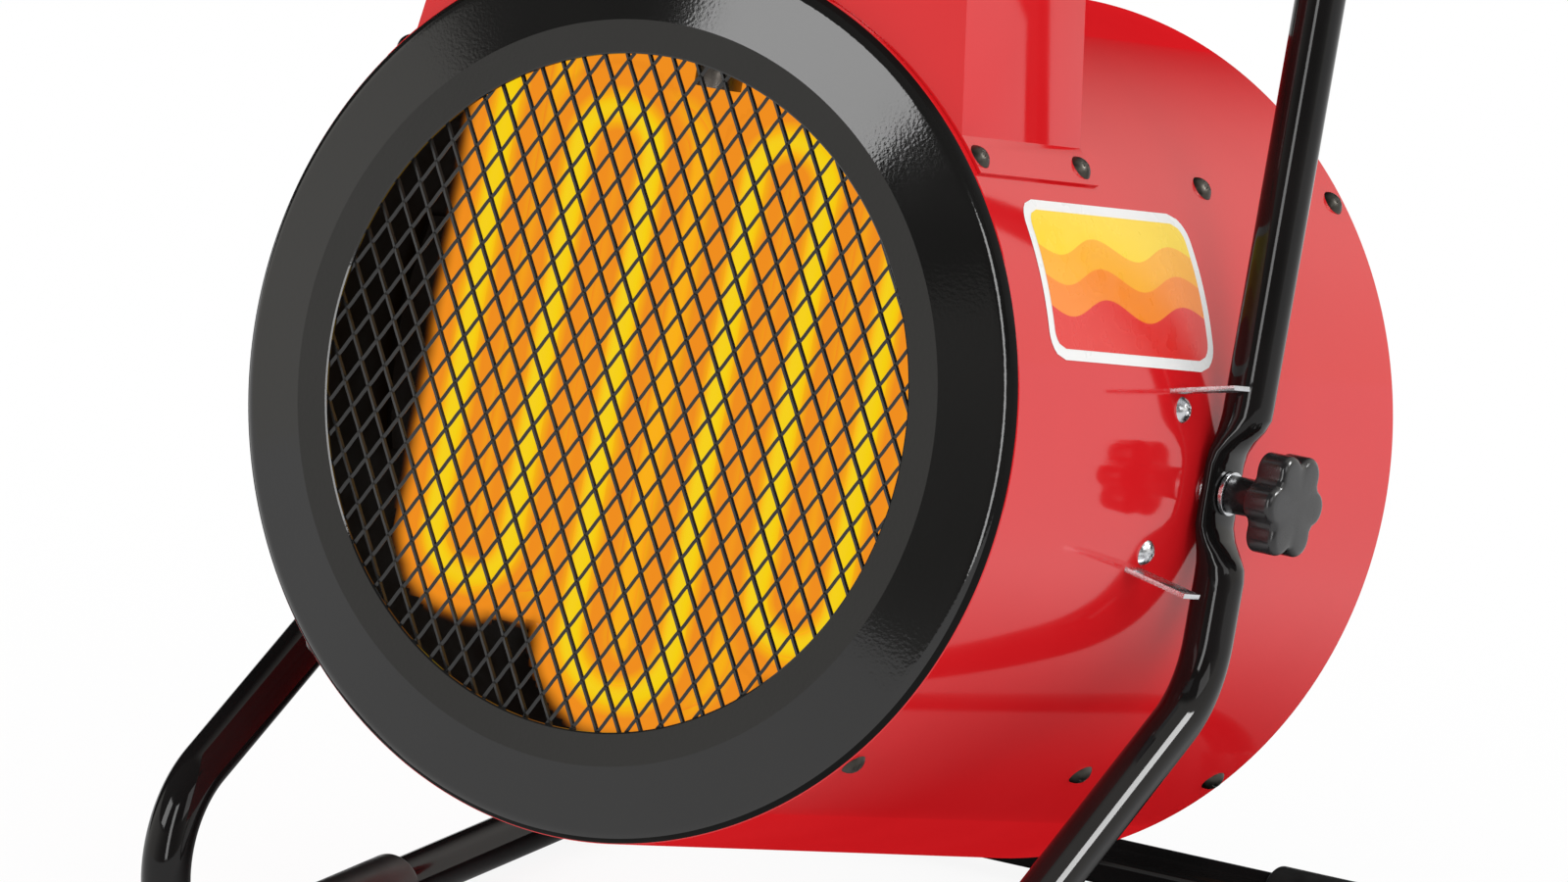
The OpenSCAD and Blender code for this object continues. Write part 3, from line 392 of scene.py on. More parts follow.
in_mouth = (drum_frame @ Matrix.Rotation(math.radians(90.0), 4, "X") @ Matrix.Rotation(MESH_TURN, 4, "Z")
            @ Matrix.Translation((0, 0, -FACE_Y - MESH_BACK)))
strand_sizes = {"Strand": STRAND_W, "Sheet": SHEET_T, "Length": math.hypot(MESH_W, MESH_H) / 2 + KNOT,
                "Wave": STRAND_WAVE, "Enamel": grille_black}
grille = grown("expanded_grille", points, [], strands, strand_sizes, in_mouth, marks={"lean": leans})
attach(grille, "heater")
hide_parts("front_grille")

# Heating elements: two steel-sheathed rods, each bent to a serpentine of six legs and hung from the terminal tray.
# Lit, the front one glows yellow and the rear one amber, with sheets of painted glow round and between them.
ELEMENT_R, ELEMENT_SIDES, ELEMENT_Y0, ELEMENT_Y1 = 4.0, 24, -104.0, -74.0
OUTER_X, INNER_X, MIDDLE_X = 75.0, 46.0, 19.0
ROOT_Z, CREST_Z, HEM_Z, DIP_Z, BEND_STEPS = 118.0, 73.0, -53.7, -76.6, 24
YELLOW, AMBER, ORANGE, EMBER = (0.89, 0.62, 0.004), (0.91, 0.42, 0.008), (0.87, 0.27, 0.014), (0.35, 0.06, 0.002)


def lit(name, core, edge):
    """A glowing sheath with painted shading: its glow takes the core colour where it faces the viewer and the edge
    colour round its sides, with small dull spots of scale.
    """
    material, node, shader, coords = new_material(name)
    # Painted shading: the glow colour follows how squarely the sheath faces the viewer.
    facing = node("ShaderNodeLayerWeight", Blend=0.5)
    spot = node("ShaderNodeMath", operation="MULTIPLY_ADD", i0=noise(node, coords, 120.0, 3.0), i1=0.16,
                i2=facing.outputs["Facing"])
    plug(shader, Base_Color=(0.05, 0.02, 0.005, 1.0), Roughness=0.6, Specular_IOR_Level=0.1, Emission_Strength=1.0,
         Emission_Color=ramp(node, spot.outputs[0], [(0.16, core), (0.75, edge)]))
    return material


element_path = [Vector((-OUTER_X, 0.0, ROOT_Z))]
for x0, x1, z, turn in [(-OUTER_X, -INNER_X, HEM_Z, -1), (-INNER_X, -MIDDLE_X, CREST_Z, 1),
                        (-MIDDLE_X, MIDDLE_X, DIP_Z, -1), (MIDDLE_X, INNER_X, CREST_Z, 1),
                        (INNER_X, OUTER_X, HEM_Z, -1)]:
    middle, r = (x0 + x1) / 2, (x1 - x0) / 2
    for i in range(BEND_STEPS + 1):
        a = math.pi * i / BEND_STEPS
        element_path.append(Vector((middle - r * math.cos(a), 0.0, z + turn * r * math.sin(a))))
element_path.append(Vector((OUTER_X, 0.0, ROOT_Z)))
element_path = filled(element_path, 8.0)
element_runs = [(i, i + 1) for i in range(len(element_path) - 1)]

rod, add, given, leave = node_tree("bent_rod", [("Radius", "Float"), ("Sides", "Int"), ("Finish", "Material")])
line = add("GeometryNodeMeshToCurve", Mesh=given["Geometry"])
section = add("GeometryNodeCurvePrimitiveCircle", Resolution=given["Sides"], Radius=given["Radius"])
leave(add("GeometryNodeCurveToMesh", Curve=line.outputs[0], Profile_Curve=section.outputs[0], Fill_Caps=True),
      given["Finish"])
for label, y, sheath in [("front", ELEMENT_Y0, lit("front_sheath_lit", YELLOW, AMBER)),
                         ("rear", ELEMENT_Y1, lit("rear_sheath_lit", AMBER, ORANGE))]:
    rod_sizes = {"Radius": ELEMENT_R, "Sides": ELEMENT_SIDES, "Finish": sheath}
    element = grown(label + "_sheath", element_path, element_runs, rod, rod_sizes,
                    drum_frame @ Matrix.Translation((0.0, y, 0.0)), 60.0)
    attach(element, "heater")
    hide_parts(label + "_element")

# Painted glow: thin emitting sheets round each element and between its legs, whose colour and cover follow the distance
# from the rod. The front sheet is clear between the legs, so that the rear element shows through.
GLOW_STEP, GLOW_R, GLOW_COLUMNS, GLOW_ROWS = 2.0, 67.0, range(-47, 48), range(-58, 55)
PAINTED_GLOW_BACK, PAINTED_GLOW_CORE, HALO_SPAN, HALO_DRIFT = 9.0, 4.0, 20.0, 3.0


def halo_material(name, stops, clear):
    """Painted glow on a sheet: colour and cover fall away from the rod by the sheet's own distance in millimetres."""
    material, node, shader, coords = new_material(name)
    away = node("ShaderNodeAttribute", attribute_name="away")
    drift = node("ShaderNodeMath", operation="MULTIPLY_ADD", i0=noise(node, coords, 60.0), i1=HALO_DRIFT,
                 i2=away.outputs["Fac"])
    share = node("ShaderNodeMapRange", Value=drift.outputs[0], From_Min=HALO_DRIFT / 2,
                 From_Max=HALO_DRIFT / 2 + HALO_SPAN).outputs["Result"]
    cover = node("ShaderNodeMapRange", interpolation_type="SMOOTHSTEP", Value=share, From_Min=clear[0] / HALO_SPAN,
                 From_Max=clear[1] / HALO_SPAN, To_Min=1.0, To_Max=0.0)
    plug(shader, Base_Color=(0.0, 0.0, 0.0, 1.0), Roughness=1.0, Specular_IOR_Level=0.0, Emission_Strength=1.0,
         Emission_Color=ramp(node, share, [(place / HALO_SPAN, colour) for place, colour in stops]),
         Alpha=cover.outputs["Result"])
    return material


front_halo = halo_material("front_halo", [(0.0, YELLOW), (2.4, YELLOW), (4.4, AMBER), (7.0, ORANGE), (13.0, ORANGE),
                                          (17.0, EMBER)], (9.0, 16.5))
rear_halo = halo_material("rear_halo", [(0.0, AMBER), (3.0, AMBER), (8.0, ORANGE), (15.0, ORANGE)], (9.0, 15.0))
# Painted glow sheet behind the rear element, which fills the space between the legs.
painted_field_glow = halo_material("painted_field_glow", [(0.0, ORANGE), (12.0, ORANGE), (17.0, EMBER)], (9.0, 16.5))
grid = [(i, j) for j in GLOW_ROWS for i in GLOW_COLUMNS if math.hypot(i, j) < GLOW_R]
points = np.array(grid)[:, None, :] * GLOW_STEP
bends = np.array([(p.x, p.z) for p in element_path])
first, run = bends[:-1], np.diff(bends, axis=0)
share = np.clip(((points - first) * run).sum(2) / (run ** 2).sum(1), 0.0, 1.0)
from_rod = np.linalg.norm(points - first - share[:, :, None] * run, axis=2).min(1)


def within(x, z):
    """Whether a spot lies inside the outline of the element's lower bends, where the painted glow fills the sheet
    throughout.
    """
    x, outer = abs(x), ((OUTER_X + INNER_X) / 2, (OUTER_X - INNER_X) / 2, HEM_Z)
    middle, r, low = (0.0, MIDDLE_X, DIP_Z) if x < MIDDLE_X else outer
    return x < OUTER_X and z > low - math.sqrt(max(0.0, r * r - (x - middle) ** 2))


for name, y, between, reach, glow in [("front_glow", ELEMENT_Y0, False, 17.0, front_halo),
                                      ("rear_glow", ELEMENT_Y1, False, 15.0, rear_halo),
                                      ("air_glow", ELEMENT_Y1 + PAINTED_GLOW_BACK, True, 17.0, painted_field_glow)]:
    spots, verts, faces, distance = {}, [], [], []
    for (i, j), away in zip(grid, from_rod):
        x, z = i * GLOW_STEP, j * GLOW_STEP
        if between and within(x, z):
            away = min(away, PAINTED_GLOW_CORE)
        if away <= reach:
            spots[i, j] = len(verts)
            verts.append((x, y, z))
            distance.append(away)
    for i, j in spots:
        corners = [(i, j), (i + 1, j), (i + 1, j + 1), (i, j + 1)]
        if all(c in spots for c in corners):
            faces.append([spots[c] for c in corners])
    sheet = new_piece(name, verts, faces, [glow])
    layer = sheet.data.attributes.new("away", "FLOAT", "POINT")
    layer.data.foreach_set("value", distance)
    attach(sheet, "heater")

# Control box: folded from sheet over the wiring, cut to the drum's curve, with a screwed flange down either side.
# Same gloss red as the drum, with its folds and cut edges eased.
CREASE = math.radians(32.0)


def finished_solid(name, node_name, edge, materials, body="heater", segments=2):
    """A merged, smooth-shaded copy of a CAD solid with eased edges. A second material is for faces inside the bore."""
    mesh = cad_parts[node_name].data.copy()
    mesh.materials.clear()
    work = bmesh.new()
    work.from_mesh(mesh)
    bmesh.ops.remove_doubles(work, verts=work.verts, dist=2e-6)
    bmesh.ops.dissolve_limit(work, angle_limit=math.radians(0.4), verts=work.verts, edges=work.edges)
    bmesh.ops.recalc_face_normals(work, faces=work.faces)
    work.to_mesh(mesh)
    work.free()
    for material in materials:
        mesh.materials.append(material)
    to_drum = drum_frame.inverted()
    for face in mesh.polygons:
        spot = to_drum @ face.center
        face.material_index = int(len(materials) > 1 and math.hypot(spot.x, spot.z) < BORE_R + 0.1)
    mesh.shade_smooth()
    mesh.set_sharp_from_angle(angle=CREASE)
    piece = bpy.data.objects.new(name, mesh)
    bpy.context.collection.objects.link(piece)
    ease = piece.modifiers.new("eased_edges", "BEVEL")
    ease.width = edge * MM
    ease.segments = segments
    ease.limit_method = "ANGLE"
    ease.angle_limit = CREASE
    ease.use_clamp_overlap = True
    ease.harden_normals = True
    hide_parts(node_name)
    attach(piece, body)


finished_solid("folded_box", "control_box", 0.6, [red_paint], segments=3)

# Pan-head screws: thread-forming screws with a cross recess. Dark ones hold the ring, motor bracket and rear ring,
# and the box's flanges; bright ones hold the stop brackets.
HEAD_R, HEAD_H, HEAD_SUNK, HEAD_RINGS, HEAD_SIDES = 4.2, 2.4, 0.4, 20, 64
RECESS, CROSS_HALF, CROSS_RUN, CROSS_REACH = 0.3, 0.62, 0.18, 2.0
BOX_HALF, FLANGE_W, FLANGE_T = 101.5, 12.0, 1.1


def plated(name, dark, light, rough, patch=90.0):
    """Plated steel: faint cloudy plating with fine scratches in its gloss."""
    material, node, shader, coords = new_material(name)
    plug(shader, Base_Color=clouded(node, coords, patch, 3.0, dark, light), Metallic=1.0,
         Roughness=spread(node, noise(node, coords, patch * 9, 3.0), *rough),
         Normal=bump(node, noise(node, coords, 1800.0), 0.06, 0.0001))
    return material


dark_zinc = plated("dark_zinc", (0.035, 0.032, 0.028), (0.085, 0.078, 0.068), (0.30, 0.45))
bright_zinc = plated("bright_zinc", (0.50, 0.51, 0.53), (0.72, 0.73, 0.75), (0.18, 0.32))
crown = (HEAD_R ** 2 + HEAD_H ** 2) / (2 * HEAD_H)
head_verts = [(0.0, 0.0, HEAD_H - RECESS)]
round_head = [(math.cos(2 * math.pi * k / HEAD_SIDES), math.sin(2 * math.pi * k / HEAD_SIDES))
              for k in range(HEAD_SIDES)]
for i in range(1, HEAD_RINGS + 1):
    r = HEAD_R * i / HEAD_RINGS
    for u, v in round_head:
        depths = [min(1.0, (CROSS_HALF - abs(r * p)) / CROSS_RUN) for p, q in ((u, v), (v, u))
                  if abs(r * q) < CROSS_REACH]
        z = HEAD_H - crown + math.sqrt(crown ** 2 - r * r) - RECESS * max([0.0, *depths])
        head_verts.append((r * u, r * v, z))
head_verts += [(HEAD_R * u, HEAD_R * v, -HEAD_SUNK) for u, v in round_head]
head_faces = [(0, 1 + k, 1 + (k + 1) % HEAD_SIDES) for k in range(HEAD_SIDES)]
head_faces += [tuple(1 + n for n in (a, d, c, b)) for a, b, c, d in skin(HEAD_RINGS + 1, HEAD_SIDES, False)]
head_faces.append(tuple(1 + HEAD_RINGS * HEAD_SIDES + k for k in reversed(range(HEAD_SIDES))))
head_mesh = bpy.data.meshes.new("pan_head")
head_mesh.from_pydata(head_verts, [], head_faces)
pan_head = bpy.data.objects.new("pan_head", head_mesh)

screwed, add, given, leave = node_tree("pan_screws", [("Head", "Object"), ("Plating", "Material")])
head = add("GeometryNodeObjectInfo", Object=given["Head"])
outward = add("GeometryNodeInputNamedAttribute", data_type="FLOAT_VECTOR", Name="outward")
facing = add("FunctionNodeAlignRotationToVector", axis="Z", Vector=outward.outputs[0])
stopped = add("GeometryNodeInputNamedAttribute", data_type="FLOAT_VECTOR", Name="turn")
driven = add("FunctionNodeRotateRotation", rotation_space="LOCAL", Rotation=facing.outputs[0],
             Rotate_By=stopped.outputs[0])
leave(add("GeometryNodeInstanceOnPoints", Points=given["Geometry"], Instance=head.outputs["Geometry"],
          Rotation=driven.outputs[0]), given["Plating"])


def screw_set(name, node_name, plating, spots):
    """Screws at (clock angle, depth, seat radius) round the drum, each turned as it happened to stop."""
    points, aims, turns = [], [], []
    for i, (clock, y, r) in enumerate(spots):
        a = math.radians(clock)
        points.append((r * math.cos(a), y, r * math.sin(a)))
        aims.append((math.cos(a), 0.0, math.sin(a)))
        turns.append((0.0, 0.0, 0.6 + 1.3 * i))
    piece = grown(name, points, [], screwed, {"Head": pan_head, "Plating": plating}, drum_frame, 30.0,
                  {"outward": aims, "turn": turns})
    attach(piece, "heater")
    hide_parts(node_name)


screw_set("dark_screws", "drum_screws", dark_zinc,
          [(clock, y, DRUM_R) for clock in (40.6, -44.4, 139.4, 224.4) for y in (22.0, 108.5)]
          + [(-44.4, -120.5, DRUM_R), (224.4, -120.5, DRUM_R)])
flange_clock = math.degrees(math.acos(BOX_HALF / DRUM_R)) - math.degrees(FLANGE_W / DRUM_R) / 2
screw_set("flange_screws", "box_screws", dark_zinc,
          [(clock, y, DRUM_R + FLANGE_T) for y in (-118.7, -55.5) for clock in (flange_clock, 180.0 - flange_clock)])
screw_set("bright_screws", "bracket_screws", bright_zinc,
          [(clock, y, DRUM_R) for up, y in ((9.86, -22.0), (-8.86, -30.2)) for clock in (up, 180.0 - up)])

# Stop brackets, spacers and nuts at the tilt axis: pressed and plated steel.
# The bracket is screwed inside the drum, where its faces in the bore get the same near-black painted shade. Its tabs
# meet the tube at either end.
for name, node_name, edge in [
        ("tab_bracket_left", "stop_bracket_left", 0.25), ("tab_bracket_right", "stop_bracket_right", 0.25),
        ("axis_spacers", "pivot_spacers", 0.25), ("axis_nuts", "pivot_nuts", 0.3)]:
    finished_solid(name, node_name, edge, [bright_zinc, painted_shade_black])

# Clamp knobs: six-lobed mouldings on a steel stud that screws into the nut inside the drum.
# Gloss black nylon with a satin face, over a bright washer.
KNOB_D, KNOB_X, KNOB_T, BOSS_L, BOSS_R = 35.0, 162.4, 11.0, 13.0, 6.0
KNOB_END, BACK_ROUND, FACE_ROUND, KNOB_SIDES = KNOB_X + KNOB_T, 1.6, 2.4, 144
LOBE_R, CORE_R, VALLEY = KNOB_D * 0.16, KNOB_D * 0.4, 1.6
LOBE_AT = KNOB_D / 2 - LOBE_R
knob_black, node, shader, coords = new_material("knob_black")
plug(shader, Base_Color=clouded(node, coords, 45.0, 3.0, (0.009, 0.009, 0.009), (0.016, 0.016, 0.017)),
     Roughness=spread(node, noise(node, coords, 260.0, 3.0), 0.16, 0.30),
     Normal=bump(node, noise(node, coords, 1500.0), 0.05))


def star(angle):
    """Radius of the knob's outline at an angle, with the valleys between lobes filleted."""
    off = math.radians(abs((math.degrees(angle) + 30.0) % 60.0 - 30.0))
    aside = LOBE_AT * math.sin(off)
    if aside >= LOBE_R:
        return CORE_R
    past = LOBE_AT * math.cos(off) + math.sqrt(LOBE_R ** 2 - aside * aside) - CORE_R
    h = max(0.0, min(1.0, 0.5 + 0.5 * past / VALLEY))
    return CORE_R + past * h + VALLEY * h * (1 - h)


knob_rows = [("boss", BOSS_R - 0.4, KNOB_X - BOSS_L), ("boss", BOSS_R, KNOB_X - BOSS_L + 0.4),
             ("boss", BOSS_R, KNOB_X - 2.5), ("boss", BOSS_R + 0.4, KNOB_X - 1.2),
             ("boss", BOSS_R + 1.6, KNOB_X - 0.2), ("star", -6.5, KNOB_X), ("star", -BACK_ROUND, KNOB_X + 0.15)]
for angle in range(15, 91, 15):
    a = math.radians(angle)
    knob_rows.append(("star", BACK_ROUND * (math.sin(a) - 1), KNOB_X + 0.15 + BACK_ROUND * (1 - math.cos(a))))
for angle in range(0, 91, 15):
    a = math.radians(angle)
    knob_rows.append(("star", FACE_ROUND * (math.cos(a) - 1), KNOB_END - 0.2 - FACE_ROUND * (1 - math.sin(a))))
knob_rows += [("star", -5.0, KNOB_END - 0.1), ("boss", 6.0, KNOB_END), ("boss", 3.0, KNOB_END)]
for hand, sign in [("left", -1.0), ("right", 1.0)]:
    verts = []
    for kind, value, x in knob_rows:
        for k in range(KNOB_SIDES):
            a = 2 * math.pi * k / KNOB_SIDES
            r = value if kind == "boss" else star(a) + value
            verts.append((sign * x, r * math.cos(a), r * math.sin(a)))
    faces = skin(len(knob_rows), KNOB_SIDES, False)
    faces.append(tuple(reversed(range(KNOB_SIDES))))
    faces.append(tuple((len(knob_rows) - 1) * KNOB_SIDES + k for k in range(KNOB_SIDES)))
    knob = new_piece("star_knob_" + hand, verts, faces, [knob_black], sharp=50.0)
    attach(knob, hand + "_knob")
    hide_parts("clamp_knob_" + hand)
    for name, node_name in [("knob_washer_", "clamp_washer_"), ("knob_stud_", "clamp_stud_")]:
        finished_solid(name + hand, node_name + hand, 0.2, [bright_zinc], hand + "_knob")

# Label: a printed vinyl patch on the drum's side, with a white margin and wavy bands of warm colour.
# The margin and the print are two thin skins, one over the other, bent to the drum.
LABEL_Y, LABEL_CLOCK, LABEL_ROWS, LABEL_COLUMNS = -53.0, math.radians(25.5), 32, 24
BAND_WAVES, BAND_LIFT = 2, 0.07
BANDS = [(0.0, (0.72, 0.02, 0.015)), (0.30, (0.90, 0.24, 0.01)), (0.52, (0.94, 0.42, 0.01)), (0.74, (0.95, 0.66, 0.02)),
         (1.0, (0.95, 0.66, 0.02))]
white_vinyl = sprayed_paint("white_vinyl", (0.80, 0.80, 0.79), (0.86, 0.86, 0.85), (0.25, 0.35), 0.03)
warm_print, node, shader, coords = new_material("warm_print")
apart = node("ShaderNodeSeparateXYZ", i0=node("ShaderNodeUVMap", uv_map="print").outputs["UV"]).outputs
swing = node("ShaderNodeMath", operation="MULTIPLY", i0=apart["X"], i1=2 * math.pi * BAND_WAVES)
wave = node("ShaderNodeMath", operation="SINE", i0=swing.outputs[0])
lift = node("ShaderNodeMath", operation="MULTIPLY_ADD", i0=wave.outputs[0], i1=BAND_LIFT, i2=apart["Y"])
plug(shader, Base_Color=ramp(node, lift.outputs[0], BANDS, "CONSTANT"),
     Roughness=spread(node, noise(node, coords, 120.0), 0.24, 0.34))
for name, w, h, r, rise, vinyl in [("label_margin", 104.0, 52.0, 9.0, 0.12, white_vinyl),
                                   ("label_print", 97.0, 45.0, 6.0, 0.2, warm_print)]:
    verts, flat, n = [], [], LABEL_COLUMNS + 1
    for j in range(LABEL_ROWS + 1):
        v = -h / 2 + h * j / LABEL_ROWS
        drop = max(0.0, abs(v) - (h / 2 - r))
        half = w / 2 - (r - math.sqrt(max(0.0, r * r - drop * drop)))
        for i in range(n):
            u = half * (2 * i / LABEL_COLUMNS - 1)
            a = LABEL_CLOCK + v / DRUM_R
            verts.append(((DRUM_R + rise) * math.cos(a), LABEL_Y + u, (DRUM_R + rise) * math.sin(a)))
            flat.append((u / w + 0.5, v / h + 0.5))
    faces = [(j * n + i, j * n + i + 1, (j + 1) * n + i + 1, (j + 1) * n + i)
             for j in range(LABEL_ROWS) for i in range(LABEL_COLUMNS)]
    label = new_piece(name, verts, faces, [vinyl])
    sheet = label.data.uv_layers.new(name="print")
    for spot in label.data.loops:
        sheet.data[spot.index].uv = flat[spot.vertex_index]
    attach(label, "heater")

# Terminal tray with its nuts, cut-out, block and controls, under the box: plain sheet steel and mouldings.
# The tray's underside closes the drum's window and shows through the grille.
tray_steel = plated("tray_steel", (0.10, 0.09, 0.08), (0.20, 0.18, 0.16), (0.35, 0.5), 30.0)
moulded_black = sprayed_paint("moulded_black", (0.012, 0.012, 0.012), (0.022, 0.022, 0.022), (0.4, 0.55), 0.15)
glazed_cream = sprayed_paint("glazed_cream", (0.70, 0.66, 0.58), (0.78, 0.75, 0.68), (0.15, 0.25), 0.05)
for name, node_name, edge, material, slot_name in [
        ("wiring_tray", "terminal_tray", 0.2, tray_steel, "tray_steel"),
        ("rod_nuts", "element_nuts", 0.4, bright_zinc, "bright_zinc"),
        ("heat_cutout", "thermal_cutout", 0.3, tray_steel, "control_steel"),
        ("wire_block", "terminal_block", 0.5, glazed_cream, "terminal_ceramic"),
        ("lead_gland", "cable_gland", 0.5, moulded_black, "black_plastic"),
        ("heat_switch", "selector_switch", 0.6, moulded_black, "black_plastic"),
        ("stat_body", "thermostat", 0.5, tray_steel, "control_steel")]:
    finished_solid(name, node_name, edge, [material])

# Dials on the box's lid: moulded knobs pressed on plain steel spindles.
# Each has a white line let into its grip, to read it by.
DIAL_X, DIAL_Y, DIAL_TOP = 48.0, -86.1, 195.0
MARK_HALF, MARK_FRONT, MARK_BACK, MARK_SUNK, MARK_PROUD = 0.9, -14.0, -3.0, 0.2, 0.1
mark_faces = [(3, 2, 1, 0), (4, 5, 6, 7), (0, 1, 5, 4), (1, 2, 6, 5), (2, 3, 7, 6), (3, 0, 4, 7)]
for control, body, x in [("selector", "selector", -DIAL_X), ("thermostat", "thermostat_control", DIAL_X)]:
    finished_solid("grip_" + control, control + "_dial", 0.8, [knob_black], body, 3)
    finished_solid("pin_" + control, control + "_spindle", 0.3, [bright_zinc], body)
    corners = [(x - MARK_HALF, MARK_FRONT), (x + MARK_HALF, MARK_FRONT), (x + MARK_HALF, MARK_BACK),
               (x - MARK_HALF, MARK_BACK)]
    verts = [(u, DIAL_Y + v, DIAL_TOP + z) for z in (-MARK_SUNK, MARK_PROUD) for u, v in corners]
    mark = new_piece("mark_" + control, verts, mark_faces, [white_vinyl])
    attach(mark, body)

# Fan and motor: pressed aluminium blades on a turned hub, on the shaft of a cast motor; the blades are near-black,
# painted shade for the dark drum.
# A four-armed plate, bolted to the motor, holds it in the drum.
# Near-black blades: painted shade for the dark inside of the drum.
blade_painted_shade = plated("blade_painted_shade", (0.012, 0.012, 0.012), (0.024, 0.024, 0.024), (0.5, 0.65), 25.0)
motor_metal = plated("motor_metal", (0.22, 0.22, 0.23), (0.33, 0.33, 0.34), (0.4, 0.55), 60.0)
for name, node_name, edge, material, slot_name, body in [
        ("motor_plate", "motor_bracket", 0.3, grille_black, "guard_paint", "heater"),
        ("cast_motor", "motor", 0.6, motor_metal, "motor_casting", "heater"),
        ("plate_bolts", "motor_bolts", 0.3, bright_zinc, "bright_zinc", "heater"),
        ("bladed_fan", "fan_impeller", 0.15, blade_painted_shade, "fan_aluminium", "fan"),
        ("drive_shaft", "fan_shaft", 0.3, bright_zinc, "bright_zinc", "fan"),
        ("hub_nut", "fan_nut", 0.4, bright_zinc, "bright_zinc", "fan")]:
    finished_solid(name, node_name, edge, [material], body)

# Rear ring and guard: the ring lines the drum's rear edge, in the same enamel as the front ring.
# Wire rings welded to flat bars keep hands off the fan.
finished_solid("inlet_ring", "rear_ring", 0.3, [ring_black])
finished_solid("wire_guard", "rear_guard", 0.2, [grille_black])

# Floor and world: a white sweep that stays white to the eye and in reflections, with the heater's shade under it.
# The floor gives some light of its own, which fills the drum's underside. In reflections the studio is dark above the
# sweep's edge and behind the heater on the left, so gloss paint keeps its depth.
FLOOR_HALF, SHADE_AT, SHADE_FROM, SHADE_TO = 6.0, (0.0, 0.1, 0.0), 0.08, 0.36
FLOOR_GLOW, FLOOR_SEEN = 0.5, 0.4
floor_mesh = bpy.data.meshes.new("floor")
floor_mesh.from_pydata([(x * FLOOR_HALF, y * FLOOR_HALF, 0.0) for x, y in ((-1, -1), (1, -1), (1, 1), (-1, 1))], [],
                       [(0, 1, 2, 3)])
floor_white, node, shader, coords = new_material("floor_white")
floor_white.cycles.emission_sampling = "NONE"
plug(shader, Base_Color=clouded(node, coords, 2.0, 2.0, (0.93, 0.93, 0.93), (0.95, 0.95, 0.95)), Roughness=0.8,
     Specular_IOR_Level=0.0)
rays = node("ShaderNodeLightPath").outputs
seen = node("ShaderNodeMath", operation="MAXIMUM", i0=rays["Is Camera Ray"], i1=rays["Is Transmission Ray"])
shown = node("ShaderNodeMath", operation="MULTIPLY_ADD", i0=seen.outputs[0], i1=FLOOR_SEEN, i2=FLOOR_GLOW)
share = node("ShaderNodeMath", operation="MAXIMUM", i0=shown.outputs[0], i1=rays["Is Glossy Ray"])
step_off = node("ShaderNodeVectorMath", operation="DISTANCE", i0=coords, i1=SHADE_AT)
shade = node("ShaderNodeMapRange", interpolation_type="SMOOTHSTEP", Value=step_off.outputs["Value"],
             From_Min=SHADE_FROM, From_Max=SHADE_TO)
unmirrored = node("ShaderNodeMath", operation="SUBTRACT", i0=1.0, i1=rays["Is Glossy Ray"])
lifted = node("ShaderNodeMath", operation="MAXIMUM", i0=unmirrored.outputs[0], i1=shade.outputs["Result"])
white = node("ShaderNodeEmission", Color=(1.0, 1.0, 1.0, 1.0), Strength=lifted.outputs[0])
mix = node("ShaderNodeMixShader", i0=share.outputs[0], i1=shader.outputs[0], i2=white.outputs[0])
plug(floor_white.node_tree.nodes["Material Output"], Surface=mix.outputs[0])
floor_mesh.materials.append(floor_white)
floor = bpy.data.objects.new("floor", floor_mesh)
bpy.context.collection.objects.link(floor)

PLAIN_LEVEL, DARK_LEVEL = 1.04, 0.1
world = bpy.data.worlds.new("studio")
bpy.context.scene.world = world
world.use_nodes = True


def sky(kind, **values):
    """A new node of the world's tree."""
    return plug(world.node_tree.nodes.new(kind), **values)


def fade(value, low, high, start=0.0, end=1.0):
    """A smooth fade from start to end as the value goes from low to high."""
    return sky("ShaderNodeMapRange", interpolation_type="SMOOTHSTEP", Value=value, From_Min=low, From_Max=high,
               To_Min=start, To_Max=end).outputs["Result"]


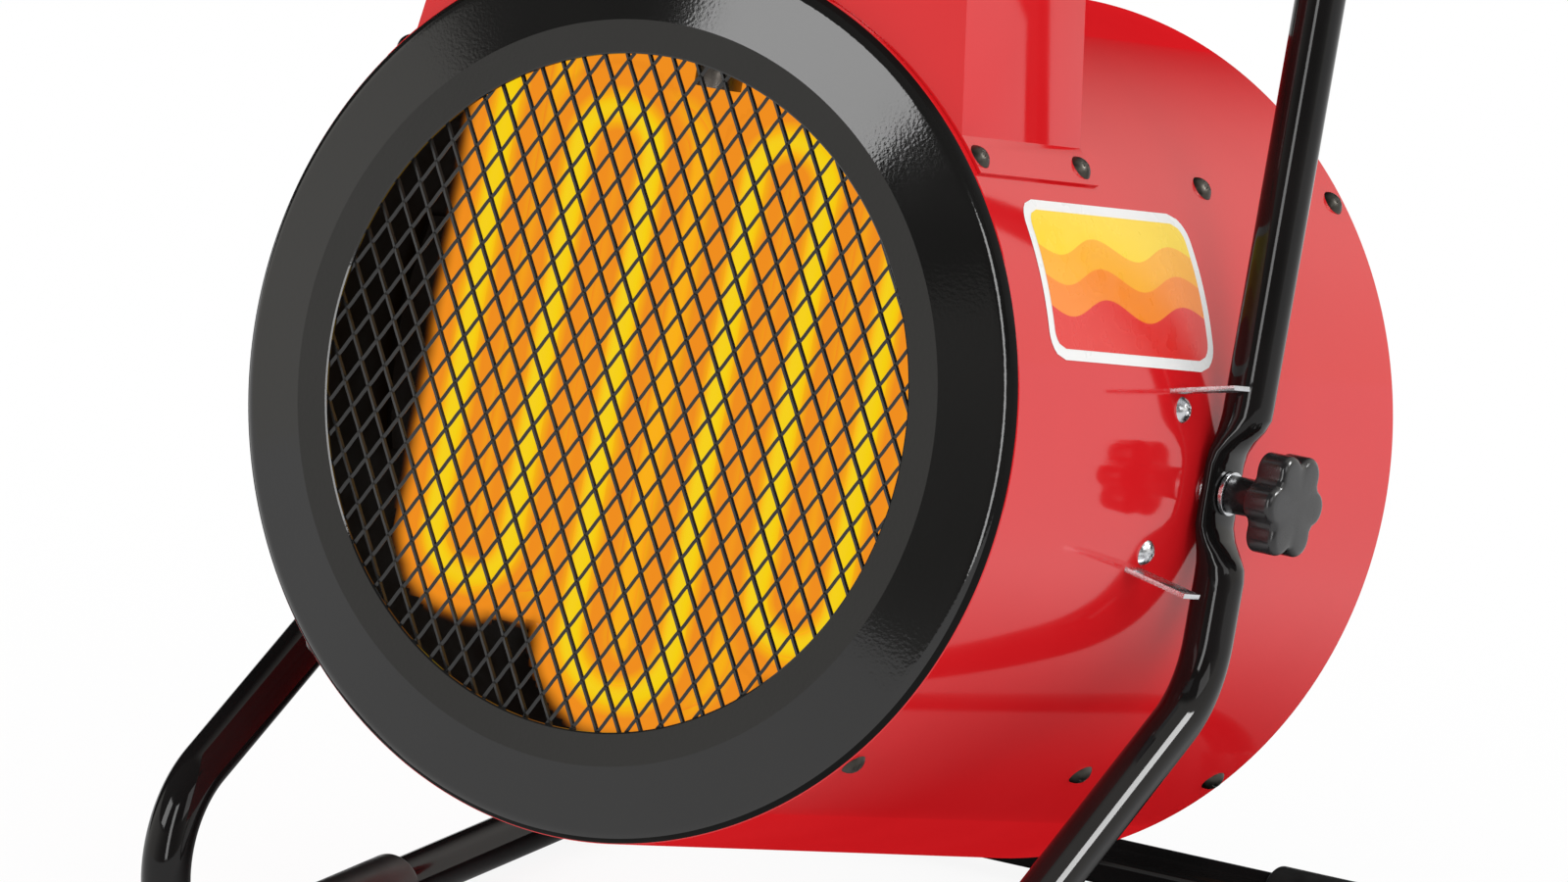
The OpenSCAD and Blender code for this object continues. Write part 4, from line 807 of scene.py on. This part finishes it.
way = sky("ShaderNodeSeparateXYZ", Vector=sky("ShaderNodeTexCoord").outputs["Generated"]).outputs
sweep_edge = fade(way["Z"], 0.37, 0.43, 1.0, DARK_LEVEL)
sideways = sky("ShaderNodeMath", operation="MULTIPLY", i0=way["X"], i1=0.55)
ahead = sky("ShaderNodeMath", operation="MULTIPLY_ADD", i0=way["Y"], i1=-0.835, i2=sideways.outputs[0])
dark_side = fade(ahead.outputs[0], 0.2, 0.95, 1.0, DARK_LEVEL)
front = sky("ShaderNodeMath", operation="MULTIPLY", i0=sweep_edge, i1=dark_side)
panel = fade(way["X"], -0.45, 0.2)
behind = fade(way["Y"], -0.1, 0.1)
brightness = sky("ShaderNodeMix", data_type="FLOAT", i0=behind, i2=front.outputs[0], i3=panel)
studio = sky("ShaderNodeBackground", Color=(1.0, 0.98, 0.93, 1.0), Strength=brightness.outputs[0])
plain = sky("ShaderNodeBackground", Color=(1.0, 1.0, 1.0, 1.0), Strength=PLAIN_LEVEL)
white = sky("ShaderNodeBackground", Color=(1.0, 1.0, 1.0, 1.0), Strength=1.0)
rays = sky("ShaderNodeLightPath").outputs
soft = sky("ShaderNodeMixShader", i0=rays["Is Glossy Ray"], i1=plain.outputs[0], i2=studio.outputs[0])
seen = sky("ShaderNodeMath", operation="MAXIMUM", i0=rays["Is Camera Ray"], i1=rays["Is Transmission Ray"])
pick = sky("ShaderNodeMixShader", i0=seen.outputs[0], i1=soft.outputs[0], i2=white.outputs[0])
plug(world.node_tree.nodes["World Output"], Surface=pick.outputs[0])

# Lamps: a broad one on the right that lights the side, and three that show only as reflections: a softbox high on the
# left front in the ring's shoulder, a strip by the camera in its rim, and one behind on the right along the near leg.
LAMP_AIM = Vector((0, 0, 0.2))
for name, place, wide, tall, power, lights in [("key", (-0.85, -2.0, 1.55), 0.9, 0.9, 17.0, False),
                                               ("side", (2.4, -0.6, 1.6), 1.2, 1.2, 10.0, True),
                                               ("by_camera", (1.22, -2.74, 1.3), 0.6, 2.5, 34.0, False),
                                               ("by_leg", (1.75, 1.0, 1.5), 0.6, 0.8, 34.0, False)]:
    lamp = bpy.data.lights.new(name, "AREA")
    lamp.shape = "RECTANGLE"
    lamp.size = wide
    lamp.size_y = tall
    lamp.energy = power
    holder = bpy.data.objects.new(name, lamp)
    facing = (Vector(place) - LAMP_AIM).to_track_quat("Z", "Y").to_matrix().to_4x4()
    holder.matrix_world = Matrix.Translation(place) @ facing
    holder.visible_diffuse = lights
    bpy.context.collection.objects.link(holder)
bpy.context.scene.view_settings.view_transform = "Standard"
